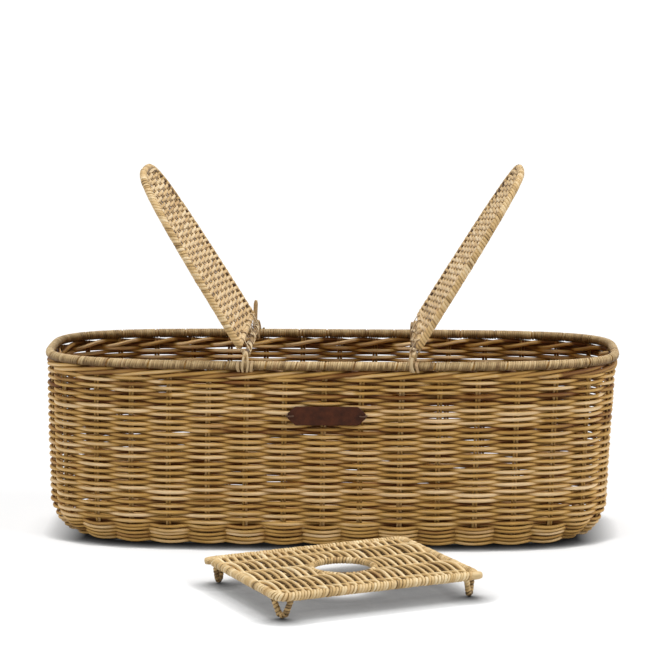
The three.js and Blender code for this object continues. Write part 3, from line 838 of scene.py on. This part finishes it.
def bindRim(peel):
    point, away = planAt(np.linspace(0, plan["length"], peel["hoopSteps"] + 1)[:-1])
    path = np.column_stack([point, plan["rimHeight"] + rimRise(point[:, 0])])
    rod = path, inSpace(away), upright(path)
    hoop = newBundle(peel["seed"])
    layRod(hoop, rod, plan["rimCore"], peel["hoopTone"], closed=True)
    makePiece(hoop, "rimHoop", caneFinish["wall"], "basket", "rim_cane", "rim_hoop")
    binding = newBundle(peel["seed"] + 1)
    windPeel(binding, rod, plan["rimCore"], peel, True)
    nodes = ["rim_binding_" + side for side in ("front", "back", "left", "right")]
    makePiece(binding, "rimWinding", caneFinish["rim"], "basket", "rim_cane", *nodes)


bindRim(rimBinding)

# lids: a bound bow, a hinge rod, an edge rod beside it and rows of flat pale cane over lengthwise stakes
lidShape = {
    "bowRadius": 0.0030, "bowStart": 0.0105, "bowSteps": 2400, "bowSkip": 6, "bowTone": 0.4,
    "barRadius": 0.0024, "barReach": 0.004, "barTone": 0.2,
    "edgeRod": 0.0125, "edgeRadius": 0.0026, "edgeRodTone": 0.4, "rodSteps": 60,
    "edgeRodInset": 0.5, "rowInset": 0.4,  # bow radii that their ends stay inside its middle line
    "stakes": 5, "stakeHalfWidth": 0.0020, "stakeHalfThick": 0.0007,
    "stakeTone": (0.45, 0.1), "stakeSteps": 24,
    "pitch": 0.00350, "swing": 0.0014, "swingEase": 0.008, "halfWidth": 0.00200, "halfThick": 0.00142,
    "steps": 10, "leastSteps": 8, "pinch": 0.4, "pinchReach": 0.013, "pinchThin": 0.1,
    "rowShake": 0.00010, "rowWander": 0.00018, "wanderMarks": 9, "thickRange": (0.94, 1.04),
    "joins": 1, "tone": 0.74, "toneSpread": 0.1,
    "backTone": 2.6, "dip": 0.5, "edgeTone": 0.45,  # painted shade where a cane dips behind the stakes and along its edges
    "endLift": 0.0030, "endReach": 0.007,  # canes that pass over the far side of the bow
    "rowLean": {"left": 0.0, "right": 0.045}, "slide": {"left": 0.0004, "right": 0.0012}, "sink": 0.0003,
    "seed": {"left": 71, "right": 171},
}
bowBinding = {
    "width": (0.0030, 0.0044), "thickness": 0.0009, "turnsToGap": (9, 22), "gap": (0.0002, 0.0006),
    # painted shade on the inner side of the bow and along the edges of its turns
    "steps": 10, "tone": 0.72, "toneSpread": 0.16, "edgeTone": 0.5, "innerShade": 1.0,
    "ruffle": 0.25, "cover": 0.96, "slant": 0.5, "shape": "flat",
}
edgeBinding = {
    "width": (0.0040, 0.0065), "thickness": 0.0010, "turnsToGap": (4, 9), "gap": (0.0005, 0.0020),
    # painted shade along the edges of its turns
    "steps": 10, "tone": 0.66, "toneSpread": 0.16, "edgeTone": 0.4, "ruffle": 0.2, "shape": "crowned",
}
lidLoops = {  # flat peel that holds the edge rod to the hinge rod
    "places": (  # along the rods, slant, half width, tone
        (-0.084, 0.003, 0.0020, 0.75), (-0.036, -0.004, 0.0015, 0.1), (0.006, 0.003, 0.0017, 0.6),
        (0.046, -0.003, 0.0015, 0.15), (0.082, 0.004, 0.0021, 0.7), (0.094, -0.003, 0.0014, 0.05),
    ),
    "thickness": 0.0009, "slack": 0.0006, "bendSteps": 8,
}
rodLashing = {
    "pitch": 0.062, "start": 0.6, "share": 0.86,  # of the hinge rod that it winds round
    "halfWidth": 0.0027, "thickness": 0.0009, "tone": 0.85, "steps": 90,
}


def lidPlace(lid, side):
    joint = joints["lid_" + side]
    turn = Matrix.Rotation(math.radians(-joint["range_deg"][0]), 4, "Y")
    facing = Matrix.Rotation(0 if joint["pos_m"][0] < 0 else math.pi, 4, "Z")
    move = Matrix.Translation((-lid["slide"][side], 0, -lid["sink"]))
    return np.array(Matrix.Translation(Vector(joint["pos_m"])) @ facing @ turn @ move)


def keepLid(bundle, side, name, node):
    body, node = "lid_" + side, side + "_lid_" + node
    makePiece(bundle, side + "Lid" + name, caneFinish["lid"], body, "lid_cane", node)


def makeLidFrame(lid, side, hinge, place):
    seed = lid["seed"][side]
    half = plan["length"] / 2
    point, away = planAt(np.linspace(half / 2, 3 * half / 2, lid["bowSteps"] + 1))
    keep = point[:, 0] < -(hinge + lid["bowStart"])
    point, away = point[keep][::lid["bowSkip"]], away[keep][::lid["bowSkip"]]
    path = np.column_stack([point[:, 0] + hinge, point[:, 1], rimRise(point[:, 0])])
    rod = path, inSpace(away), upright(path)
    bow = newBundle(seed, place)
    layRod(bow, rod, lid["bowRadius"], lid["bowTone"])
    keepLid(bow, side, "Bow", "bow")
    binding = newBundle(seed + 1, place)
    windPeel(binding, rod, lid["bowRadius"], bowBinding)
    keepLid(binding, side, "Winding", "binding")

    reach = planWidthAt(hinge) + lid["barReach"]
    rods = newBundle(seed + 2, place)
    layRod(rods, crossRod(np.linspace(-reach, reach, lid["rodSteps"])), lid["barRadius"], lid["barTone"])
    inner = planWidthAt(hinge + lid["edgeRod"]) - lid["bowRadius"] * lid["edgeRodInset"]
    edge = crossRod(np.linspace(-inner, inner, lid["rodSteps"]), -lid["edgeRod"])
    layRod(rods, edge, lid["edgeRadius"], lid["edgeRodTone"])
    windPeel(rods, edge, lid["edgeRadius"], edgeBinding)
    keepLid(rods, side, "Rods", "bar")

    ties = newBundle(seed + 3, place)
    thick = lidLoops["thickness"]
    near = lid["barRadius"] + lidLoops["slack"] + thick
    far = lid["edgeRadius"] + edgeBinding["thickness"] + thick
    angle = np.linspace(-np.pi / 2, np.pi / 2, lidLoops["bendSteps"] + 1)
    round1 = np.column_stack([near * np.cos(angle), 0 * angle, near * np.sin(angle)])
    round2 = np.column_stack([-lid["edgeRod"] - far * np.cos(angle), 0 * angle, -far * np.sin(angle)])
    loop = np.vstack([round1, (round1[-1:] + round2[:1]) / 2, round2, (round2[-1:] + round1[:1]) / 2])
    for where, slant, halfWidth, tone in lidLoops["places"]:
        path = loop.copy()
        path[:, 1] = where - slant * loop[:, 0] / lid["edgeRod"]
        facedStrip(ties, path, [0, 1.0, 0], halfWidth, thick, tone, True)
    y = np.linspace(-reach * rodLashing["share"], reach * rodLashing["share"], rodLashing["steps"])
    turn = 2 * np.pi * y / rodLashing["pitch"] + rodLashing["start"]
    thick = rodLashing["thickness"]
    radius = lid["barRadius"] + thick * 0.5
    path = np.column_stack([radius * np.cos(turn), y, radius * np.sin(turn)])
    facedStrip(ties, path, [0, 1.0, 0], rodLashing["halfWidth"], thick, rodLashing["tone"])
    makePiece(ties, side + "LidLashing", caneFinish["tie"], "lid_" + side, "tie_peel")


def nearEdge(y, edge, reach):
    # 0 in the middle of a cane, and up to 1 over the last stretch before its end
    return np.clip((y - edge + reach) / reach, 0, 1)


def weaveLid(lid, side, hinge, place):
    weave = newBundle(lid["seed"][side] + 4, place)
    random = weave["random"]
    spacing = 2 * plan["halfWidth"] / (lid["stakes"] + 1)
    farSide = 1 if side == "left" else -1
    first = lid["edgeRod"] + lid["edgeRadius"] + lid["halfWidth"]
    last = plan["halfLength"] - hinge - lid["bowRadius"] - lid["halfWidth"]
    rows = int((last - first) / lid["pitch"]) + 1
    pitch = (last - first) / (rows - 1)
    for row in range(rows):
        x = -(first + row * pitch)
        edge = planWidthAt(hinge - x) - lid["bowRadius"] * lid["rowInset"]
        y = alongRow(-edge, edge, spacing, lid)
        wave = np.cos(np.pi * (y / spacing + row))
        z = rimRise(hinge - x) + lid["swing"] * wave * np.clip((edge - np.abs(y)) / lid["swingEase"], 0, 1)
        z += lid["endLift"] * (row % 2) * nearEdge(y * farSide, edge, lid["endReach"])
        close = nearEdge(np.abs(y), edge, lid["pinchReach"]) ** 2
        shift = pitch * lid["pinch"] * (1 if row % 2 else -1) * close + random.normal(0, lid["rowShake"])
        wander = random.normal(0, lid["rowWander"], lid["wanderMarks"])
        wander = np.interp(y, np.linspace(-edge, edge, len(wander)), wander)
        along = np.clip(x + shift + wander - lid["rowLean"][side] * y, -last, -first)
        fat = random.uniform(*lid["thickRange"]) * (1 - lid["pinchThin"] * close)
        wide, high = np.outer(lid["halfWidth"] * fat, [1, 0, 0]), np.outer(lid["halfThick"] * fat, straightUp)
        tone = caneTones(random, len(y), lid["joins"], lid["toneSpread"], lid["tone"])[:, None]
        # painted shade along the cane's edges and where it dips behind the stakes
        tone = tone - lid["edgeTone"] * stripShape[:, 0] ** 4
        tone = tone - lid["backTone"] * dipShade(wave, stripShape, lid["dip"]) * (1 - close)[:, None]
        layCane(weave, np.column_stack([along, y, z]), wide, high, np.clip(tone, 0, 1), stripShape)
    for number in range(lid["stakes"]):
        y = (number + 1 - (lid["stakes"] + 1) / 2) * spacing
        tip = ovalReach(plan["halfLength"], y / plan["halfWidth"]) - hinge
        x = np.linspace(-lid["edgeRod"], -tip, lid["stakeSteps"])
        path = np.column_stack([x, y + 0 * x, rimRise(hinge - x)])
        wide = every([0, lid["stakeHalfWidth"], 0], len(x))
        high = every(straightUp * lid["stakeHalfThick"], len(x))
        layCane(weave, path, wide, high, random.normal(*lid["stakeTone"]), stripShape)
    keepLid(weave, side, "Weave", "weave")


for side in ("left", "right"):
    hinge = abs(joints["lid_" + side]["pos_m"][0])
    place = lidPlace(lidShape, side)
    makeLidFrame(lidShape, side, hinge, place)
    weaveLid(lidShape, side, hinge, place)

# hinge ties: flat peel from the rim over the end of a hinge rod, in two ways of knotting
hingeTie = {
    "thickness": 0.0009, "steps": 26, "seed": 81,
    "taper": ((0, 3, 22, 25), (0.7, 1, 1, 0.6)),  # steps and shares of the width
    "knots": {  # half width, tone, and points along, out of and above the middle of the rim, in mm
        "eye": (
            (1.2, 0.75, ((-1.4, -6.4, -5), (-1.4, -6.6, 2), (-0.7, -4, 12), (0, -0.5, 15), (-1.8, 3.4, 11),
                         (-3, 5.9, 5), (-3.6, 6.3, -1), (-3.2, 3.6, -6), (-2.4, -3, -6.3))),
            (1.2, 0.6, ((2, -6.2, -5), (1.4, -6.2, 4), (0.5, -3, 13), (0.5, 1, 14.4), (1.8, 4.4, 9.4),
                        (2.4, 6.1, 4), (2.2, 6.4, -1), (1.2, 3.8, -6), (0, -3, -6.3))),
            (1.5, 0.5, ((-8, 3.6, 5.4), (-8.6, 6.4, 0), (-7.6, 3.6, -5.6), (-7, -2, -6.2))),
            (1.6, 0.35, ((6.5, 3.2, 5.6), (6, 6.4, 0), (5.5, 3.6, -5.6), (5, -2, -6.2))),
        ),
        "band": (
            (1.6, 0.75, ((3.4, -5, 5), (3.2, -3.4, 11), (2.2, 0.5, 14.6), (0.6, 3.6, 11), (-1, 5.9, 5.4),
                         (-0.8, 6.5, 0), (1.2, 4.4, -5.2), (2, -2, -6.4))),
            (1.0, 0.3, ((-3, -6, -4), (-3, -5.4, 6), (-2, -2, 13.4), (-2.2, 1.6, 12.4), (-3, 5.4, 6.4),
                        (-2.6, 6.4, 0), (-1.4, 3.8, -5.8), (-0.8, -3, -6.3))),
            (1.5, 0.6, ((3.6, 3.4, 5.5), (4.6, 6.3, 0.5), (5.8, 3.8, -5.4), (6.2, -2, -6.2))),
        ),
    },
    "tail": (2.4, 1.0, ((-3.6, 5, 4), (-3.4, 7.4, 12), (-3, 7.8, 24), (-2.4, 8, 36))),  # a free end
}


def tieHinge(tie, sideX, sideY, name):
    bundle = newBundle(tie["seed"] + sideX + 2 * sideY)
    x = joints["lid_left" if sideX < 0 else "lid_right"]["pos_m"][0]
    middle = np.array([x, sideY * planWidthAt(x), plan["rimHeight"]])
    strips = list(tie["knots"]["eye" if sideX < 0 else "band"])
    if sideX < 0 and sideY > 0:
        strips.append(tie["tail"])
    taper = np.interp(np.arange(tie["steps"]), *tie["taper"])
    for halfWidth, tone, marks in strips:
        path = smoothPath(np.array(marks) * (0.001, 0.001 * sideY, 0.001), tie["steps"]) + middle
        facedStrip(bundle, path, [1.0, 0, 0], halfWidth * 0.001 * taper, tie["thickness"], tone)
    makePiece(bundle, "hingeTie_" + name, caneFinish["tie"], "basket", "tie_peel", "hinge_tie_" + name)


for sideX, across in ((-1, "left"), (1, "right")):
    for sideY, depth in ((-1, "front"), (1, "back")):
        tieHinge(hingeTie, sideX, sideY, depth + "_" + across)
print("hinges tied")

# centre panel: a bound frame on four V-shaped legs, woven across its short way, with a bound hole
panelShape = {
    "turn": 27.0, "length": 0.214, "width": 0.168, "corner": 0.009, "cornerSteps": 6,
    "frameRadius": 0.0034, "frameSteps": 160, "coreTone": 0.3,
    "stakes": 3, "stakeRadius": 0.0015, "stakeGap": 2.2, "stakeTone": (0.5, 0.1), "stakeSteps": 16,
    "pitch": 0.00395, "swing": 0.0028, "frameEase": 0.008, "holeEase": 0.007, "radius": 0.00196,
    "rowInset": 0.3,  # frame radii that the rows' ends stay inside its middle line
    "steps": 9, "leastSteps": 6, "sides": 8, "pinch": 0.26, "pinchReach": 0.016,
    "wander": 0.00042, "wanderMarks": 9, "thickSpread": 0.12,
    # painted shade where a cane dips behind the stakes and along its edges
    "tone": 0.78, "toneSpread": 0.15, "backTone": 0.6, "dip": 0.3, "edgeTone": 0.5,
    "holeRadius": 0.032, "ringRadius": 0.0024, "ringSteps": 72,
    "legSpread": 0.0125, "legFoot": 0.0046, "legRadius": 0.0021, "legSides": 8, "legFacing": 0.3,
    "legMarks": (0, 0.5, 0.85, 1), "legSteps": 40,  # shares of the way down a prong
    "legLift": 2.3,  # thicknesses of peel between a leg's core and the floor
    "stubs": ((-1, 1, 0.0055), (1, -1, 0.0035)),  # rod ends left standing out at two corners
    "stubRadius": 0.0041, "stubTaper": (1, 1, 1, 1, 1, 1, 0.97, 0.8), "stubTone": 0.6,
    "seed": 91,
}
panelBinding = {
    "width": (0.0025, 0.0037), "thickness": 0.0011, "turnsToGap": (5, 12), "gap": (0.0003, 0.0010),
    # painted shade along the edges of its turns
    "steps": 10, "tone": 0.7, "toneSpread": 0.14, "edgeTone": 0.38,
    "ruffle": 0.25, "slant": 0.4, "shape": "crowned",
}
ringBinding = {
    "width": (0.0030, 0.0042), "thickness": 0.0010, "turnsToGap": (4, 9), "gap": (0.0003, 0.0008),
    # painted shade along the edges of its turns
    "steps": 10, "tone": 0.55, "toneSpread": 0.22, "edgeTone": 0.6, "ruffle": 0.2, "shape": "crowned",
}
legBinding = {
    "width": (0.0030, 0.0042), "thickness": 0.0009, "turnsToGap": (3, 6), "gap": (0.0002, 0.0006),
    # painted shade along the edges of its turns
    "steps": 10, "tone": 0.33, "toneSpread": 0.18, "edgeTone": 0.4, "ruffle": 0.2, "shape": "crowned",
}


def keepPanel(bundle, name, *nodes):
    makePiece(bundle, name, caneFinish["panel"], "centre_panel", "panel_cane", *nodes)


def bindPanelFrame(panel, place, height):
    halfLength, halfWidth, corner = panel["length"] / 2, panel["width"] / 2, panel["corner"]
    path, across = [], []
    for number, (sideX, sideY) in enumerate(((1, 1), (-1, 1), (-1, -1), (1, -1))):
        middle = np.array([sideX * (halfLength - corner), sideY * (halfWidth - corner), height])
        for step in range(panel["cornerSteps"] + 1):
            angle = (number + step / panel["cornerSteps"]) * np.pi / 2
            out = np.array([math.cos(angle), math.sin(angle), 0])
            path.append(middle + out * corner)
            across.append(out)
    line, length = rodAlong((np.array(path), np.array(across), upright(path)), True)
    centre, sides, ups = line(np.linspace(0, length, panel["frameSteps"] + 1)[:-1])
    frameRod = centre, unit(sides), ups
    rod = newBundle(panel["seed"], place)
    layRod(rod, frameRod, panel["frameRadius"], panel["coreTone"], closed=True)
    keepPanel(rod, "panelFrameRod", "panel_frame")
    binding = newBundle(panel["seed"] + 1, place)
    windPeel(binding, frameRod, panel["frameRadius"], panelBinding, True)
    taper = np.array(panel["stubTaper"])
    for sideX, sideY, reach in panel["stubs"]:
        x = sideX * np.linspace(halfLength - 2 * corner, halfLength + reach, len(taper))
        stub = np.column_stack([x, sideY * halfWidth + 0 * x, height + 0 * x])
        wide = np.outer(taper, [0, panel["stubRadius"], 0])
        layCane(binding, stub, wide, wide[:, [0, 2, 1]], panel["stubTone"], roundShape(10))
    nodes = ["panel_binding_" + run for run in ("long_front", "long_back", "short_left", "short_right")]
    keepPanel(binding, "panelWinding", *nodes)


def besideHole(panel, reach, offset):
    # half of the hole at this distance from its middle, and the stretches of a cane that it leaves
    hole = math.sqrt(max(0, panel["holeRadius"] ** 2 - offset ** 2))
    return hole, (((-reach, -hole), (hole, reach)) if hole > 0 else ((-reach, reach),))


def weavePanel(panel, place, height):
    weave = newBundle(panel["seed"] + 2, place)
    random = weave["random"]
    shape = roundShape(panel["sides"])
    halfLength = panel["length"] / 2
    spacing = panel["width"] / (panel["stakes"] + 1)
    inner = halfLength - panel["frameRadius"] - panel["radius"]
    rows = int(2 * inner / panel["pitch"]) + 1
    pitch = 2 * inner / (rows - 1)
    edge = panel["width"] / 2 - panel["frameRadius"] * panel["rowInset"]
    for row in range(rows):
        x = -inner + row * pitch
        fat = panel["radius"] * (1 + panel["thickSpread"] * random.uniform(-1, 1))
        wander = random.normal(0, panel["wander"], panel["wanderMarks"])
        level = random.normal(panel["tone"], panel["toneSpread"])
        hole, stretches = besideHole(panel, edge, x)
        for start, stop in stretches:
            y = alongRow(start, stop, spacing, panel)
            ease = np.clip((edge - np.abs(y)) / panel["frameEase"], 0, 1)
            if hole > 0:
                ease = ease * np.clip((np.abs(y) - hole) / panel["holeEase"], 0, 1)
            wave = np.cos(np.pi * (y / spacing + row))
            # painted shade where the cane dips behind the stakes and along its edges between rows
            tone = level - panel["backTone"] * dipShade(wave, shape, panel["dip"])
            tone = np.clip(tone - panel["edgeTone"] * shape[:, 0] ** 2, 0, 1)
            close = nearEdge(np.abs(y), edge, panel["pinchReach"]) ** 2
            shift = pitch * panel["pinch"] * (1 if row % 2 else -1) * close
            shift = shift + np.interp(y, np.linspace(-edge, edge, len(wander)), wander)
            rod = crossRod(y, x + shift, height + panel["swing"] * wave * ease)
            layRod(weave, rod, fat, tone, panel["sides"])
    for number in range(panel["stakes"]):
        y = (number + 1 - (panel["stakes"] + 1) / 2) * spacing
        for start, stop in besideHole(panel, halfLength, y)[1]:
            for pair in (-0.5, 0.5):
                x = np.linspace(start, stop, panel["stakeSteps"])
                side = y + pair * panel["stakeGap"] * panel["stakeRadius"]
                path = np.column_stack([x, side + 0 * x, height + 0 * x])
                rod = path, every([0, 1.0, 0], len(x)), upright(x)
                layRod(weave, rod, panel["stakeRadius"], random.normal(*panel["stakeTone"]), panel["sides"])
    keepPanel(weave, "panelWeave", "panel_weave")


def ringHole(panel, place, height):
    angle = np.linspace(0, 2 * np.pi, panel["ringSteps"] + 1)[:-1]
    out = np.column_stack([np.cos(angle), np.sin(angle), 0 * angle])
    rod = out * panel["holeRadius"] + (0, 0, height), out, upright(angle)
    ring = newBundle(panel["seed"] + 3, place)
    layRod(ring, rod, panel["ringRadius"], panel["coreTone"], closed=True)
    windPeel(ring, rod, panel["ringRadius"], ringBinding, True)
    keepPanel(ring, "panelHoleRing", "panel_hole_ring")


def bendLegs(panel, place, height):
    radius, spread, foot = panel["legRadius"], panel["legSpread"], panel["legFoot"]
    low = radius + legBinding["thickness"] * panel["legLift"]
    top = np.array([spread, 0.0, height - panel["frameRadius"]])
    toe = np.array([spread + foot, spread - foot, 2 * low]) / 2
    prong = top + (toe - top) * np.array(panel["legMarks"])[:, None]
    marks = np.vstack([prong, prong[::-1, [1, 0, 2]]])  # in from a corner of the frame
    for number, (sideX, sideY) in enumerate(((1, 1), (1, -1), (-1, 1), (-1, -1)), 1):
        x, y = sideX * (panel["length"] / 2 - marks[:, 0]), sideY * (panel["width"] / 2 - marks[:, 1])
        bend = smoothPath(np.column_stack([x, y, marks[:, 2]]), panel["legSteps"])
        ahead = unit(np.gradient(bend, axis=0))
        outward = np.array([sideX, sideY, panel["legFacing"]])
        across = unit(outward - ahead * (ahead @ outward)[:, None])
        rod = bend, across, np.cross(ahead, across)
        leg = newBundle(panel["seed"] + 3 + number, place)
        layRod(leg, rod, radius, panel["coreTone"], panel["legSides"])
        windPeel(leg, rod, radius, legBinding)
        keepPanel(leg, f"panelLeg{number}", f"panel_leg_{number}")


def makePanel(panel):
    low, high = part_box("panel_frame")
    middle = (low + high) / 2
    turn = Matrix.Rotation(math.radians(panel["turn"]), 4, "Z")
    place = np.array(Matrix.Translation((middle.x, middle.y, 0)) @ turn)
    for build in (bindPanelFrame, weavePanel, ringHole, bendLegs):
        build(panel, place, middle.z)


makePanel(panelShape)

# leather patch with a stitch at each end
leatherPatch = {
    "length": 0.082, "height": 0.020, "thickness": 0.0020, "chamfer": (0.0082, 0.0074),
    "softCorner": 0.0012, "cornerSteps": 4, "edge": 0.0006,
    "rounding": ((-1.2, 0), (-0.3, 0.3), (0, 1)), "flat": -2.5,  # in edges: outward, and in from the face
    "colour": (84, 44, 26), "deep": (54, 27, 16), "rough": (0.55, 0.75), "specular": 0.2,
    "grain": 900.0, "bump": 0.35, "bumpDepth": 0.0003,
    "cloud": 120.0, "cloudDetail": 4.0, "cloudSpan": (0.3, 0.7),
    "stitchInset": 0.006, "stitchRadius": 0.0009, "stitchSteps": 28, "stitchSides": 8, "stitchTone": 0.5,
    "thread": (104, 72, 50), "threadShade": 0.6, "threadTwist": 500.0, "threadRough": 0.7, "seed": 95,
}


def makeLeather(patch):
    finish, tree = newFinish("patchLeather")
    place = addNode(tree, "TexCoord", {}, "Object")
    grain = addNode(tree, "TexVoronoi", {"Vector": place, "Scale": patch["grain"]}, "Distance")
    size = {"Scale": patch["cloud"], "Detail": patch["cloudDetail"]}
    cloud = addNode(tree, "TexNoise", {"Vector": place, **size}, "Fac")
    depth = {"Strength": patch["bump"], "Distance": patch["bumpDepth"]}
    dim, bright = patch["cloudSpan"]
    setInputs(tree, tree.nodes["Principled BSDF"], {
        "Base Color": addRamp(tree, cloud, (dim, patch["deep"]), (bright, patch["colour"])),
        "Roughness": addSpread(tree, cloud, 0.0, 1.0, *patch["rough"]),
        "Normal": addNode(tree, "Bump", {"Height": grain, **depth}),
        "Specular IOR Level": patch["specular"],
    })
    return finish


def makeThread(patch):
    finish, tree = newFinish("patchThread")
    grain = addNode(tree, "Attribute", {}, "Vector", attribute_name="grain")
    turns = {"Vector": grain, "Scale": patch["threadTwist"]}
    twist = addNode(tree, "TexWave", turns, "Fac", bands_direction="DIAGONAL")
    shade = [part * patch["threadShade"] for part in patch["thread"]]
    setInputs(tree, tree.nodes["Principled BSDF"], {
        "Base Color": addRamp(tree, twist, (0, shade), (1, patch["thread"])),
        "Roughness": patch["threadRough"],
    })
    return finish


def patchOutline(patch):
    # a bar with pointed ends, each corner of it softened
    halfLength, halfHeight = patch["length"] / 2, patch["height"] / 2
    cutLength, cutHeight = patch["chamfer"]
    quarter = [(halfLength, halfHeight - cutHeight), (halfLength - cutLength, halfHeight)]
    upper = quarter + [(-x, y) for x, y in quarter[::-1]]
    corners = np.array(upper + [(-x, -y) for x, y in upper])
    soft = patch["softCorner"]
    into = corners + unit(np.roll(corners, 1, 0) - corners) * soft
    outOf = corners + unit(np.roll(corners, -1, 0) - corners) * soft
    bends = np.linspace(0, 1, patch["cornerSteps"] + 1)
    arcs = [(1 - t) ** 2 * into + 2 * t * (1 - t) * corners + t ** 2 * outOf for t in bends]
    return np.stack(arcs, axis=1).reshape(-1, 2)


def makePatch(patch):
    low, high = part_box("label_patch")
    middle = (low + high) / 2
    lean = math.atan2(wallProfile["taper"], wallProfile["top"] - wallProfile["bendHeight"])
    place = Matrix.Translation(middle) @ Matrix.Rotation(math.pi / 2 + lean, 4, "X")
    outline = patchOutline(patch)
    ahead = np.roll(outline, -1, 0) - np.roll(outline, 1, 0)
    outward = unit(np.column_stack([ahead[:, 1], -ahead[:, 0]]))
    thick, edge = patch["thickness"] / 2, patch["edge"]
    rounding = patch["rounding"]
    rings = [(out * edge, up * edge - thick) for out, up in rounding]
    rings += [(out * edge, thick - up * edge) for out, up in rounding[::-1]] + [(patch["flat"] * edge, thick)]
    points = [np.column_stack([outline + outward * out, np.full(len(outline), z)]) for out, z in rings]
    index = np.arange(len(rings) * len(outline)).reshape(len(rings), -1)
    after = np.roll(index, -1, 1)
    sides = np.stack([index[:-1], after[:-1], after[1:], index[1:]], axis=-1).reshape(-1, 4)
    faces = sides.tolist() + [index[0, ::-1].tolist(), index[-1].tolist()]
    mesh = bpy.data.meshes.new("leatherPatch")
    mesh.from_pydata([place @ Vector(point) for point in np.vstack(points)], [], faces)
    mesh.polygons.foreach_set("use_smooth", np.ones(len(faces), bool))
    placePiece("leatherPatch", mesh, makeLeather(patch), "basket", "patch_leather", "label_patch")

    thread = makeThread(patch)
    radius, halfLength = patch["stitchRadius"], patch["length"] / 2
    for end, name in ((-1, "left"), (1, "right")):
        bundle = newBundle(patch["seed"], np.array(place))
        inner, outer = end * (halfLength - patch["stitchInset"]), end * (halfLength + radius)
        marks = [(inner, 0, -thick), (inner, 0, thick), (inner + end * radius, 0, thick + radius),
                 (outer - end * radius, 0, thick + radius), (outer, 0, thick), (outer, 0, -thick)]
        bend = smoothPath(marks, patch["stitchSteps"])
        across = every([0, 1.0, 0], len(bend))
        rod = bend, across, np.cross(unit(np.gradient(bend, axis=0)), across)
        layRod(bundle, rod, radius, patch["stitchTone"], patch["stitchSides"])
        makePiece(bundle, "patchStitch_" + name, thread, "basket", "patch_stitch", "label_tie_" + name)


makePatch(leatherPatch)
